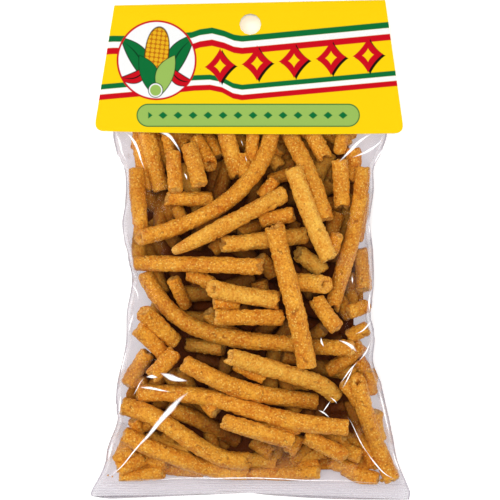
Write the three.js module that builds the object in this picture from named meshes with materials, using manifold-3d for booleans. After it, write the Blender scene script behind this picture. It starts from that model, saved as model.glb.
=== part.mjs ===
// A sealed clear film bag of thick fried corn sticks with a folded header card over its neck.
// It lies on its back: +Z is up from the floor, +Y runs to the header, +X to the right.
// The sticks are fused on the bag's solid where they press against the film.
// Lengths are in millimetres.

import * as THREE from "three";
import { mergeVertices } from "three/addons/utils/BufferGeometryUtils.js";
import Module from "manifold-3d";

const wasm = await Module();
wasm.setup();

// Driving dimensions
const FLAT_WIDTH = 140; // the bag's film laid flat, at the bottom seal
const VIEW_HEIGHT = 850; // the eye's height over the floor when the photo's pixels were read
const FILM_EDGE = 0.6; // thickness of the solid at its side folds and seal
const CORE_DEPTH = 8; // how far the core lies below the sticks' crown
const CROWN_POWER = 2.8; // how square the heap's cross section is
const CROWN_ROUND = 0.58; // how round its shoulders are
const BACK_FLAT = 0.58; // share of the half width that lies flat on the floor
const NECK_TAMED = 45; // from here up to the card the sticks' ends no longer push the film out
const STICK_SIDES = 8;
const STICK_STEP = 15; // length of one facet along a stick
const STICK_BOW = 0.045; // rise of a stick's middle as a share of its length
const STICK_SLOPE = 0.4; // steepest lie of a stick
const SLOPE_TRIES = 16; // slopes tried each way
const LEVEL_LIKING = 0.05; // how much a level lie is preferred
const STICK_CONTACT = 0.95; // how closely crossing sticks touch
const HEAP_TOP = 36; // the crown's highest place
const END_PUSH = 0.36; // how far a stick's ends push the film out, as a share of the crown's fall there
const SHOWS_ABOVE_CORE = 0.8; // a stick that stands less proud than this is left out
const CARD_THICK = 0.5;
const CARD_GAP = 0.35; // clear space between the card and the bag
const FOLD_HEIGHT = 9; // middle of the card's fold over the floor
const FOLD_RADIUS = 0.9;
const FRONT_RISE = 11.3; // the front panel's lower edge over the fold
const BACK_FALL = 7.4; // the back panel's lower edge under the fold
const BACK_SHORT = 1.8; // the back panel ends this much before the front one
const PANEL_REACH = 60.5; // from the fold to just past the panels' lower edge
const FRONT_BOW = 1.6; // the front panel's middle over its sides
const CARD_HALF_WIDTH = 70; // of the sheet before it is cut to its outline
const CARD_CORNER = 4.4; // radius of its lower corners
const HANG_HOLE = 9.4; // diameter
const CARD_COLUMNS = 10;
const RING_STEPS = 31; // steps along the bag
const SEAL_STEPS = 3; // those in the bottom seal
const RING_HALF = 16; // steps on each half of a ring

// The photo's frame: pixels are turned to millimetres by the seal's flat width.
const PHOTO_MIDDLE = { x: 250.35, y: 249.2 };
const PHOTO_SEAL = { left: 91.5, right: 409.2 };
const MM_PER_PIXEL = FLAT_WIDTH / (PHOTO_SEAL.right - PHOTO_SEAL.left);

// The film's side folds as [across, down] in pixels, from the neck to the bottom corners.
const LEFT_FOLD = [
  [121, 42], [113.3, 131], [117.5, 155], [125.2, 172], [125.2, 204], [122.4, 226], [129.3, 262],
  [132, 282], [127, 312], [125.7, 345], [116.7, 388], [117.5, 420], [108, 447], [104.3, 465],
  [91.5, 494], [91.5, 500],
];
const RIGHT_FOLD = [
  [380, 42], [386.9, 132], [380.3, 155], [373.7, 168], [373.7, 190], [370, 222], [373, 250],
  [373.7, 285], [370.6, 315], [374.6, 338], [373.2, 362], [381, 382], [391.3, 430], [397.3, 460],
  [409.2, 488], [409.2, 500],
];
const BOTTOM_EDGE = [
  [91, 495], [112, 497.5], [165, 493.5], [221, 489.5], [275, 494.5], [335, 497.8], [410, 498.5],
];
const SEAL_TOP_PIXEL = 478; // the inner line of the bottom seal
const LOWEST_PIXEL = 499; // the lowest place of the bottom edge
const CARD_FOLD = { left: [114.5, 5.5], right: [385, 0] };
const CARD_LOWER = { left: [94, 131], right: [404, 133.5], middle: [253, 135] };
const HOLE_PIXEL = [250.3, 24.5];

// Cross sections of the bag: how high its front, back and side folds lie at each place along it.
const SECTIONS = [
  { y: -110, front: 4.1, back: 3.5, fold: 3.8 },
  { y: -101.3, front: 4.3, back: 3.3, fold: 3.8 },
  { y: -98.5, front: 10.5, back: 0.8, fold: 4.3 },
  { y: -95, front: 15.5, back: 0, fold: 5.5 },
  { y: -88, front: 23, back: 0, fold: 8 },
  { y: -72, front: 31, back: 0, fold: 10.5 },
  { y: -40, front: 35, back: 0, fold: 12 },
  { y: 0, front: HEAP_TOP, back: 0, fold: 12.5 },
  { y: 25, front: 33, back: 0, fold: 12 },
  { y: 42, front: 24.5, back: 0, fold: 10.5 },
  { y: 50, front: 19.4, back: 1.5, fold: 10 },
  { y: 70, front: 15.2, back: 4.3, fold: 9.5 },
  { y: 91, front: 11.2, back: 7.2, fold: 9.1 },
];
const NECK_END = SECTIONS[SECTIONS.length - 1].y;

// The sticks that show, the top ones first: a name, the width and the middle line in pixels.
const STICKS = [
  // Sticks that lie on top
  ["cross", 19, [273.5, 222], [281, 255], [292, 297], [303, 345], [307.5, 370]],
  ["pale", 18, [292, 164], [303, 197], [314, 225], [330, 261]],
  ["ramp", 17, [172, 252], [200, 239], [230, 223], [260, 207], [286, 193]],
  ["long_curve", 17, [133, 240], [180, 226], [222, 205], [250, 179], [266, 153], [272.5, 130]],
  ["level", 16.5, [134, 263], [200, 264.5], [264, 267]],
  ["open_end", 18, [204, 287], [240, 294.5], [283, 301]],
  ["square_cut", 15.5, [214, 317], [284, 317.5]],
  ["pale_sweep", 17.5, [226, 355], [250, 362], [290, 374], [320, 384], [338, 398]],
  ["low_sweep", 18, [182, 362], [206, 374], [236, 387], [275, 396], [318, 402]],
  ["stub", 17, [176, 351], [150, 379]],
  ["corner_long", 19, [120, 405], [150, 414], [177, 431], [203, 448], [228, 459], [257, 461]],
  ["slope_long", 17.5, [137, 393], [170, 393], [208, 397], [250, 409], [300, 422], [350, 428]],
  ["end_on", 18, [304, 283], [331, 285]],
  ["right_stub", 17, [314, 296], [326, 314], [338, 330]],
  // Sticks that pass under one of those
  ["big_bend", 17.5, [144, 272], [158, 296], [178, 317], [205, 331], [245, 340], [299, 344]],
  ["right_upper", 16.5, [363, 166], [362, 195], [361, 216], [362, 240]],
  ["right_long", 17, [358, 214], [352, 237], [345, 262], [336, 290], [329, 312]],
  ["upper_stub", 17.5, [339, 158], [341, 185], [342, 211]],
  ["upper_sweep", 17, [287, 130], [300, 155], [312, 181], [321, 205], [326, 222]],
  ["neck_left", 17.5, [225, 128], [231, 152], [239, 180]],
  ["leaning", 17, [188, 144], [195, 166], [200, 187]],
  ["upright", 15.5, [173, 152], [176, 192]],
  ["cross_left", 15.5, [163, 198.5], [190, 199], [214, 199.5]],
  ["left_edge", 16.5, [136, 167], [138, 197], [142, 236]],
  ["left_upper", 17, [145, 127], [153, 158], [162, 192]],
  ["middle", 16.5, [219, 245], [250, 242], [308, 235]],
  ["short_rise", 15, [259, 221], [295, 214]],
  ["broken", 17.5, [291, 251], [322, 272]],
  ["right_level", 17, [305, 346], [354, 348.5]],
  ["below_sweep", 17, [220, 419], [255, 430], [294, 442]],
  ["hollow", 17, [251, 439], [280, 458]],
  ["left_slope", 17, [139, 309], [158, 325], [177, 344]],
  ["left_slope_low", 16, [136, 327], [150, 340], [166, 357]],
  ["left_low", 17, [149, 351], [138, 368], [127, 386]],
  ["short_level", 15.5, [184, 344], [225, 349]],
  ["ragged_bit", 14, [177, 330], [203, 338]],
  ["tucked", 14, [172, 277], [179, 291], [187, 308]],
  ["bag_corner", 17, [122, 433], [145, 445], [175, 456], [207, 467], [248, 474]],
  ["under_slope", 17, [166, 408], [192, 417], [217, 429], [242, 442]],
  ["right_fall", 17, [304, 435], [325, 446], [349, 458]],
  ["right_foot", 17, [358, 381], [364, 408], [375, 440], [392, 480]],
  ["beside_foot", 14.5, [349, 398], [359, 430], [374, 466]],
  ["right_small", 15, [347, 313], [369, 305]],
  ["right_rise", 15, [347, 337], [369, 327]],
  ["edge_drop", 16.5, [358, 247], [362, 268], [364, 292]],
  // Sticks seen in the gaps
  ["neck_dark", 15, [195, 136], [204, 152], [213, 171]],
  ["neck_dark_low", 15, [206, 133], [219, 158]],
  ["neck_middle", 14, [253, 128], [252, 150], [251, 168]],
  ["neck_right", 18, [311, 130], [319, 147], [327, 162]],
  ["neck_far_right", 14, [343, 132], [339, 154]],
  ["neck_far_left", 12, [167, 132], [170, 154]],
  ["behind_curve", 15, [229, 160], [223, 182], [216, 205]],
  ["under_curve", 15, [163, 188], [161, 210], [160, 233]],
  ["gap_left", 14, [176, 206], [185, 224]],
  ["gap_upper", 14, [260, 198], [277, 178]],
  ["gap_upper_right", 13, [268, 181], [296, 172]],
  ["gap_under_ramp", 13, [238, 233], [266, 222]],
  ["gap_middle_left", 14, [211, 252], [226, 240]],
  ["gap_middle", 16, [258, 256], [275, 276]],
  ["gap_ring", 18, [259, 284], [266, 303]],
  ["gap_small", 13, [315, 257], [326, 271]],
  ["gap_right_upper", 14, [338, 233], [331, 254]],
  ["gap_under_open", 13, [212, 303], [240, 304.5]],
  ["gap_behind_open", 14, [187, 273], [214, 284]],
  ["gap_under_bend", 14, [177, 331], [225, 343]],
  ["gap_right", 16, [335, 294], [352, 319]],
  ["gap_right_low", 16, [326, 371], [345, 360], [363, 343]],
  ["gap_edge", 15, [372, 369], [368, 393]],
  ["gap_under_sweep", 14, [234, 363], [266, 379]],
  ["gap_under_cross", 14, [281, 356], [301, 359]],
  ["gap_sweep_end", 14, [327, 409], [347, 404]],
  ["gap_slope_end", 13, [322, 417], [352, 418]],
  ["gap_left_low", 15, [135, 418], [138, 438]],
  ["gap_corner", 16, [125, 441], [133, 461]],
  ["corner_rise", 17, [117, 469], [146, 455]],
  ["corner_foot", 13, [119, 477], [165, 472]],
  ["foot_left", 14, [148, 463.5], [172, 468], [205, 471]],
  ["foot_middle", 14, [215, 469], [262, 474], [320, 472]],
  ["foot_rise", 16, [290, 461], [312, 443]],
  ["foot_right", 16, [298, 469], [321, 461]],
  ["foot_far_right", 17, [327, 458], [358, 469]],
  ["foot_last", 17, [342, 464], [358, 473], [378, 479]],
  ["gap_foot_left", 14, [150, 404], [170, 401]],
];

// Places in the photo

// A pixel's place in the part for a point at height z over the floor.
function place([across, down], z) {
  const scale = MM_PER_PIXEL * (1 - z / VIEW_HEIGHT);
  return [(across - PHOTO_MIDDLE.x) * scale, (PHOTO_MIDDLE.y - down) * scale];
}

// A smooth line through rows of numbers, read by the value at `key` in each row.
function follow(rows, key, at) {
  const rising = rows[rows.length - 1][key] > rows[0][key];
  let i = 0;
  while (i < rows.length - 2 && (rising ? rows[i + 1][key] < at : rows[i + 1][key] > at)) i++;
  const span = rows[i + 1][key] - rows[i][key];
  const share = THREE.MathUtils.clamp((at - rows[i][key]) / span, 0, 1);
  return { i, share };
}

function between(values, { i, share }) {
  const before = values[Math.max(i - 1, 0)];
  const after = values[Math.min(i + 2, values.length - 1)];
  const [a, b] = [values[i], values[i + 1]];
  const [leave, arrive] = [(b - before) / 2, (after - a) / 2];
  const s = share;
  return (
    a * (2 * s ** 3 - 3 * s ** 2 + 1) + leave * (s ** 3 - 2 * s ** 2 + s) +
    b * (3 * s ** 2 - 2 * s ** 3) + arrive * (s ** 3 - s ** 2)
  );
}

// The side folds' places across the bag at y.
function folds(y, z) {
  const down = PHOTO_MIDDLE.y - y / (MM_PER_PIXEL * (1 - z / VIEW_HEIGHT));
  const edge = (rows) => between(rows.map((row) => row[0]), follow(rows, 1, down));
  const left = place([edge(LEFT_FOLD), down], z)[0];
  const right = place([edge(RIGHT_FOLD), down], z)[0];
  return { middle: (left + right) / 2, half: (right - left) / 2 };
}

function section(y) {
  const at = follow(SECTIONS, "y", y);
  const read = (key) => between(SECTIONS.map((row) => row[key]), at);
  return { front: read("front"), back: Math.max(read("back"), 0), fold: read("fold") };
}

// The crown is the smooth surface that the highest sticks touch.
function crown(x, y) {
  const { front, fold } = section(y);
  const { middle, half } = folds(y, fold);
  const u = Math.min(Math.abs((x - middle) / half), 1);
  return fold + (front - fold) * (1 - u ** CROWN_POWER) ** CROWN_ROUND;
}

// The back lies on the floor in the middle and rises to the side folds.
function backHeight(x, y) {
  const { back, fold } = section(y);
  const { middle, half } = folds(y, fold);
  const side = Math.min(Math.abs((x - middle) / half), 1);
  const flare = Math.max(0, (side - BACK_FLAT) / (1 - BACK_FLAT)) ** 1.8;
  return back + (fold - FILM_EDGE / 2 - back) * flare;
}

// Sticks

function planLine(points) {
  return new THREE.CatmullRomCurve3(points.map(([x, y]) => new THREE.Vector3(x, y, 0)), false, "catmullrom");
}

// The highest straight lie under a row of ceilings, as heights at its two ends.
function lieUnder(ceilings, length) {
  const last = ceilings.length - 1;
  let best = { worth: -Infinity };
  for (let tilt = -SLOPE_TRIES; tilt <= SLOPE_TRIES; tilt++) {
    const rise = (STICK_SLOPE * length * tilt) / SLOPE_TRIES;
    const start = Math.min(...ceilings.map((ceiling, i) => ceiling - (rise * i) / last));
    const worth = start + rise / 2 - LEVEL_LIKING * Math.abs(rise);
    if (worth > best.worth) best = { worth, start, end: start + rise };
  }
  return best;
}

// How high the middle of a stick may be at a point of the plan.
function ceilingAt({ x, y }, radius, push, placed) {
  const free = crown(x, y);
  const tamed = THREE.MathUtils.clamp((NECK_TAMED - y) / 15, 0, 1);
  let ceiling = free + push * tamed * (section(y).front - free) - radius;
  for (const other of placed) {
    const reach = STICK_CONTACT * (radius + other.radius);
    if (x < other.low.x - reach || x > other.high.x + reach) continue;
    if (y < other.low.y - reach || y > other.high.y + reach) continue;
    for (const p of other.line) {
      const apart = (p.x - x) ** 2 + (p.y - y) ** 2;
      if (apart < reach * reach) ceiling = Math.min(ceiling, p.z - Math.sqrt(reach * reach - apart));
    }
  }
  return ceiling;
}

// Lays the sticks from the top down, each as high as the crown and the ones above it let it lie.
function laySticks() {
  const placed = [];
  for (const [name, width, ...pixels] of STICKS) {
    const radius = (width * MM_PER_PIXEL) / 2;
    let heights = { start: 25, end: 25 };
    let line = [];
    for (let round = 0; round < 3; round++) {
      const count = pixels.length - 1;
      const rise = (i) => THREE.MathUtils.lerp(heights.start, heights.end, i / count);
      const curve = planLine(pixels.map((pixel, i) => place(pixel, rise(i))));
      const length = curve.getLength();
      const steps = Math.max(4, Math.round(length / 2.5));
      line = curve.getSpacedPoints(steps);
      const bow = (i) => STICK_BOW * length * 4 * (i / steps) * (1 - i / steps);
      const push = (i) => END_PUSH * (2 * (i / steps) - 1) ** 2;
      const ceilings = line.map((p, i) => ceilingAt(p, radius, push(i), placed) - bow(i));
      heights = lieUnder(ceilings, length);
      line.forEach((p, i) => {
        const lie = THREE.MathUtils.lerp(heights.start, heights.end, i / steps) + bow(i);
        p.z = Math.max(lie, backHeight(p.x, p.y) + radius + FILM_EDGE);
      });
    }
    const box = new THREE.Box3().setFromPoints(line);
    placed.push({ name, radius, line, low: box.min, high: box.max });
  }
  return placed;
}

// Solids

// A closed geometry as a solid, turned the right way out.
function solidOf(geometry) {
  const bare = geometry.index ? geometry.toNonIndexed() : geometry;
  const open = new THREE.BufferGeometry().setAttribute("position", bare.getAttribute("position"));
  const merged = mergeVertices(open, 1e-4);
  const triVerts = new Uint32Array(merged.index.array);
  const vertProperties = new Float32Array(merged.attributes.position.array);
  const made = new wasm.Manifold(new wasm.Mesh({ numProp: 3, vertProperties, triVerts }));
  if (made.volume() > 0) return made;
  for (let i = 0; i < triVerts.length; i += 3) {
    [triVerts[i + 1], triVerts[i + 2]] = [triVerts[i + 2], triVerts[i + 1]];
  }
  return new wasm.Manifold(new wasm.Mesh({ numProp: 3, vertProperties, triVerts }));
}

function geometryOf(solid) {
  const mesh = solid.getMesh();
  const positions = [];
  for (let i = 0; i < mesh.numVert; i++) {
    positions.push(...mesh.vertProperties.slice(i * mesh.numProp, i * mesh.numProp + 3));
  }
  const geometry = new THREE.BufferGeometry();
  geometry.setAttribute("position", new THREE.Float32BufferAttribute(positions, 3));
  geometry.setIndex(new THREE.BufferAttribute(new Uint32Array(mesh.triVerts), 1));
  return geometry.toNonIndexed();
}

// Loose scraps are dropped, and hollows that the joining sealed are filled.
function largestBody(solid) {
  return solid.decompose().reduce((most, body) => (body.volume() > most.volume() ? body : most));
}

// Rows of points, each a closed ring, as a closed skin with a strip across the first and last ring.
function loft(rings) {
  const positions = [];
  const triangle = (a, b, c) => positions.push(...a, ...b, ...c);
  const count = rings[0].length;
  for (let r = 0; r + 1 < rings.length; r++) {
    for (let k = 0; k < count; k++) {
      const next = (k + 1) % count;
      triangle(rings[r][k], rings[r][next], rings[r + 1][k]);
      triangle(rings[r][next], rings[r + 1][next], rings[r + 1][k]);
    }
  }
  const cap = (ring, turned) => {
    for (let k = 0; k + 1 < count / 2; k++) {
      const [a, b, c, d] = [ring[k], ring[k + 1], ring[count - 2 - k], ring[count - 1 - k]];
      for (const [p, q, s] of [[a, c, b], [a, d, c]]) turned ? triangle(p, s, q) : triangle(p, q, s);
    }
  };
  cap(rings[0], false);
  cap(rings[rings.length - 1], true);
  const geometry = new THREE.BufferGeometry();
  geometry.setAttribute("position", new THREE.Float32BufferAttribute(positions, 3));
  return geometry;
}

// The bag's core: its back, side folds, seal and neck, with the front kept below the sticks' crown.
function bagCore() {
  const sealTop = (PHOTO_MIDDLE.y - SEAL_TOP_PIXEL) * MM_PER_PIXEL;
  const bottom = (PHOTO_MIDDLE.y - LOWEST_PIXEL) * MM_PER_PIXEL;
  const rings = [];
  for (let r = 0; r <= RING_STEPS; r++) {
    const overSeal = (r - SEAL_STEPS) / (RING_STEPS - SEAL_STEPS);
    const inSeal = r / SEAL_STEPS;
    const above = r >= SEAL_STEPS;
    const y = above ? sealTop + (NECK_END - sealTop) * overSeal : bottom + (sealTop - bottom) * inSeal;
    const { front, fold } = section(y);
    const { middle, half } = folds(y, fold);
    const low = Math.max(front - CORE_DEPTH, fold + (front - fold) * 0.35);
    const foldFront = fold + FILM_EDGE / 2;
    const ring = [];
    for (let k = 0; k < 2 * RING_HALF; k++) {
      const u = -Math.cos((Math.PI * k) / RING_HALF);
      const side = Math.min(Math.abs(u), 1);
      const x = middle + u * half;
      const over = foldFront + (low - foldFront) * (1 - side ** CROWN_POWER) ** CROWN_ROUND;
      const edge = k === 0 || k === RING_HALF;
      const z = edge ? fold : k < RING_HALF ? over : backHeight(x, y);
      ring.push([x, y + sealWave(x) * Math.max(0, 1 - inSeal), z]);
    }
    rings.push(ring);
  }
  return solidOf(loft(rings));
}

// How far the unevenly cut bottom edge lies above its lowest place.
function sealWave(x) {
  const across = PHOTO_MIDDLE.x + x / MM_PER_PIXEL;
  const down = between(BOTTOM_EDGE.map((row) => row[1]), follow(BOTTOM_EDGE, 0, across));
  return (LOWEST_PIXEL - down) * MM_PER_PIXEL;
}

function stickSolid({ radius, line }) {
  const octagon = new THREE.Shape();
  for (let k = 0; k < STICK_SIDES; k++) {
    const turn = (2 * Math.PI * (k + 0.5)) / STICK_SIDES;
    const point = [radius * Math.cos(turn), radius * Math.sin(turn)];
    k === 0 ? octagon.moveTo(...point) : octagon.lineTo(...point);
  }
  octagon.closePath();
  const path = new THREE.CatmullRomCurve3(line, false, "catmullrom");
  const steps = Math.max(1, Math.round(path.getLength() / STICK_STEP));
  return solidOf(new THREE.ExtrudeGeometry(octagon, { steps, extrudePath: path }));
}

// How far a stick stands out of the core, at its proudest point.
function standsProud({ radius, line }) {
  return Math.max(...line.map((p) => p.z + radius - (crown(p.x, p.y) - CORE_DEPTH)));
}

// The header card

const foldEnds = [place(CARD_FOLD.left, FOLD_HEIGHT), place(CARD_FOLD.right, FOLD_HEIGHT)];

function foldLine(x) {
  const [left, right] = foldEnds;
  return left[1] + ((right[1] - left[1]) * (x - left[0])) / (right[0] - left[0]);
}

// The card's folded sheet as a closed solid, `thick` through, before it is cut to its outline.
function cardSheet(thick) {
  const turns = 4;
  const panel = [1, 0.75, 0.5, 0.25, 0.06];
  const outline = [];
  const frontAt = (share, x) => FRONT_RISE * share - FRONT_BOW * share * (x / CARD_HALF_WIDTH) ** 2;
  const middleLine = (x) => {
    const points = panel.map((share) => [PANEL_REACH * share, FOLD_HEIGHT - BACK_FALL * share - FOLD_RADIUS]);
    for (let k = 0; k <= turns; k++) {
      const turn = -Math.PI / 2 + (Math.PI * k) / turns;
      points.push([FOLD_RADIUS * (1 - Math.cos(turn)), FOLD_HEIGHT + FOLD_RADIUS * Math.sin(turn)]);
    }
    panel.slice().reverse().forEach((share) => {
      points.push([PANEL_REACH * share, FOLD_HEIGHT + frontAt(share, x) + FOLD_RADIUS]);
    });
    return points;
  };
  for (let column = 0; column <= CARD_COLUMNS; column++) {
    const x = -CARD_HALF_WIDTH + (2 * CARD_HALF_WIDTH * column) / CARD_COLUMNS;
    const points = middleLine(x);
    const offset = (side) => points.map(([down, z], i) => {
      const [a, b] = [points[Math.max(i - 1, 0)], points[Math.min(i + 1, points.length - 1)]];
      const long = Math.hypot(b[0] - a[0], b[1] - a[1]);
      const shift = (side * thick) / 2;
      return [x, foldLine(x) - down + (shift * (b[1] - a[1])) / long, z + (shift * (b[0] - a[0])) / long];
    });
    outline.push([...offset(1), ...offset(-1).reverse()]);
  }
  return solidOf(loft(outline));
}

// The die's outline with the hang hole, its lower edge raised by `short`, as a solid from z to z.
function cardDie(short, from, to) {
  const [foldLeft, foldRight] = foldEnds;
  const lowerZ = FOLD_HEIGHT + FRONT_RISE;
  const corner = (pixel, z) => place(pixel, z).map((value, axis) => value + axis * short);
  const left = corner(CARD_LOWER.left, lowerZ - FRONT_BOW);
  const right = corner(CARD_LOWER.right, lowerZ - FRONT_BOW);
  const middle = corner(CARD_LOWER.middle, lowerZ);
  const along = (start, end, far) => {
    const long = Math.hypot(end[0] - start[0], end[1] - start[1]);
    return start.map((value, axis) => value + ((end[axis] - value) * far) / long);
  };
  const shape = new THREE.Shape();
  shape.moveTo(foldLeft[0], foldLeft[1] + CARD_CORNER);
  shape.lineTo(...foldLeft);
  shape.lineTo(...along(left, foldLeft, CARD_CORNER));
  shape.quadraticCurveTo(...left, ...along(left, middle, CARD_CORNER));
  shape.quadraticCurveTo(middle[0], middle[1] - 0.5, ...along(right, middle, CARD_CORNER));
  shape.quadraticCurveTo(...right, ...along(right, foldRight, CARD_CORNER));
  shape.lineTo(...foldRight);
  shape.lineTo(foldRight[0], foldRight[1] + CARD_CORNER);
  shape.closePath();
  const hole = new THREE.Path();
  hole.absarc(...place(HOLE_PIXEL, FOLD_HEIGHT + 2), HANG_HOLE / 2, 0, 2 * Math.PI, true);
  shape.holes.push(hole);
  const settings = { depth: to - from, bevelEnabled: false, curveSegments: 6 };
  return solidOf(new THREE.ExtrudeGeometry(shape, settings).translate(0, 0, from));
}

// The two sub-parts

const die = cardDie(0, FOLD_HEIGHT, 60).add(cardDie(BACK_SHORT, -15, FOLD_HEIGHT));
const card = cardSheet(CARD_THICK).intersect(die);
const clearance = cardSheet(CARD_THICK + 2 * CARD_GAP);
const sticks = laySticks().filter((stick) => standsProud(stick) > SHOWS_ABOVE_CORE);
const joined = wasm.Manifold.union([bagCore(), ...sticks.map(stickSolid)]);
const bag = largestBody(joined.subtract(clearance));

const filmAndSticks = new THREE.MeshStandardMaterial({ color: 0xd9922e, roughness: 0.7, metalness: 0 });
const printedCard = new THREE.MeshStandardMaterial({ color: 0xffd800, roughness: 0.35, metalness: 0 });

function named(name, solid, material) {
  const mesh = new THREE.Mesh(geometryOf(solid), material);
  mesh.name = name;
  return mesh;
}

const pack = new THREE.Group();
pack.add(named("bag", bag, filmAndSticks));
pack.add(named("header_card", card, printedCard));

// The origin is on the floor under the middle of the whole pack.
const box = new THREE.Box3().setFromObject(pack);
const centre = box.getCenter(new THREE.Vector3());
pack.position.set(-centre.x, -centre.y, -box.min.z);

export default pack;
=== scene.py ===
# The dressed look of a clear film bag of fried corn sticks with a folded header card.
# Lengths are worked out in millimetres and turned to metres when a mesh is made.

import math
from collections import namedtuple

import bmesh
import bpy
import numpy as np
from mathutils import Matrix, Vector


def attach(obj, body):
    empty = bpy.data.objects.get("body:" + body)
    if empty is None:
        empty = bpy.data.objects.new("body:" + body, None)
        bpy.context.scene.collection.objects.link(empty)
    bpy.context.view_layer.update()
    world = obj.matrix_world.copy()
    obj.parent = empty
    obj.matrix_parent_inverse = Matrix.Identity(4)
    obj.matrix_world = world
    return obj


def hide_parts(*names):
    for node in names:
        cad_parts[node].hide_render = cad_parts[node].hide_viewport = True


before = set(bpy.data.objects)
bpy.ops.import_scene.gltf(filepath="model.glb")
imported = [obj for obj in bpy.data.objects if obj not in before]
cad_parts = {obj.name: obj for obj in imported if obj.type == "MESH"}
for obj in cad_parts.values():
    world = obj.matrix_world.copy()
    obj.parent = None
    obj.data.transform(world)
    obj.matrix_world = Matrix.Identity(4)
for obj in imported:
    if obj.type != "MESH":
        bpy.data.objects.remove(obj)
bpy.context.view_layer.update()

# Driving dimensions, the same as the solid model's
FLAT_WIDTH = 140.0  # the bag's film laid flat, at the bottom seal
VIEW_HEIGHT = 850.0  # the eye's height over the floor
FILM_EDGE = 0.6  # thickness of the solid at its side folds
CROWN_POWER = 2.8  # how square the heap's cross section is
CROWN_ROUND = 0.58  # how round its shoulders are
BACK_FLAT = 0.58  # share of the half width that lies flat on the floor
BACK_CURL = 1.8  # how late the back rises to the side folds
STICK_BOW = 0.045  # rise of a stick's middle as a share of its length
STICK_SLOPE = 0.4  # steepest lie of a stick
SLOPE_TRIES = 16  # slopes tried each way
LEVEL_LIKING = 0.05  # how much a level lie is preferred
STICK_CONTACT = 0.95  # how closely crossing sticks touch
HEAP_TOP = 36.0  # the crown's highest place
END_PUSH = 0.36  # how far a stick's ends push the film out, as a share of the crown's fall there
NECK_TAMED = 45.0  # from here up to the card the sticks' ends no longer push the film out
TAMED_OVER = 15.0
LAY_STEP = 2.5  # length of one straight in a stick's middle line while it is laid
FIRST_HEIGHT = 25.0  # height at which a pixel's place is first read
FOLD_HEIGHT = 9.0  # middle of the card's fold over the floor
FOLD_RADIUS = 0.9
FRONT_RISE = 11.3  # the front panel's lower edge over the fold
PANEL_REACH = 60.5  # from the fold to just past the panels' lower edge
FRONT_BOW = 1.6  # the front panel's middle over its sides
CARD_HALF_WIDTH = 70.0
CARD_THICK = 0.5
CARD_START = 50.0  # from here up the film lies under the card
NECK_END = 91.0  # the film's end inside the card
CENTRE = (0.184, -0.477)  # the model's own middle, taken off so that it stands over the origin

# The photo's frame, in pixels
PHOTO_SIZE = 500
MIDDLE_PIXEL = (250.35, 249.2)
SEAL_PIXELS = (91.5, 409.2)
MM_PER_PIXEL = FLAT_WIDTH / (SEAL_PIXELS[1] - SEAL_PIXELS[0])
LOWEST_PIXEL = 499.0
CARD_FOLD = ((114.5, 5.5), (385, 0))

MM = 0.001
TO_METRES = Matrix.Scale(MM, 4) @ Matrix.Translation((-CENTRE[0], -CENTRE[1], 0))

# The film's side folds as (across, down) in pixels, from the neck to the bottom corners
LEFT_FOLD = [
    (121, 42), (113.3, 131), (117.5, 155), (125.2, 172), (125.2, 204), (122.4, 226), (129.3, 262),
    (132, 282), (127, 312), (125.7, 345), (116.7, 388), (117.5, 420), (108, 447), (104.3, 465),
    (91.5, 494), (91.5, 500),
]
RIGHT_FOLD = [
    (380, 42), (386.9, 132), (380.3, 155), (373.7, 168), (373.7, 190), (370, 222), (373, 250),
    (373.7, 285), (370.6, 315), (374.6, 338), (373.2, 362), (381, 382), (391.3, 430), (397.3, 460),
    (409.2, 488), (409.2, 500),
]
BOTTOM_EDGE = [
    (91, 495), (112, 497.5), (165, 493.5), (221, 489.5), (275, 494.5), (335, 497.8), (410, 498.5),
]
# The seal's inner line in pixels: its highest place, and how fast it falls to the left and the right
SEAL_CREST = (225, 477.5)
SEAL_FALLS = (0.025, 0.032)

# Cross sections of the bag as (y, front, back, side fold)
SECTIONS = [
    (-110, 4.1, 3.5, 3.8),
    (-101.3, 4.3, 3.3, 3.8),
    (-98.5, 10.5, 0.8, 4.3),
    (-95, 15.5, 0, 5.5),
    (-88, 23, 0, 8),
    (-72, 31, 0, 10.5),
    (-40, 35, 0, 12),
    (0, HEAP_TOP, 0, 12.5),
    (25, 33, 0, 12),
    (42, 24.5, 0, 10.5),
    (50, 19.4, 1.5, 10),
    (70, 15.2, 4.3, 9.5),
    (91, 11.2, 7.2, 9.1),
]

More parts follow.
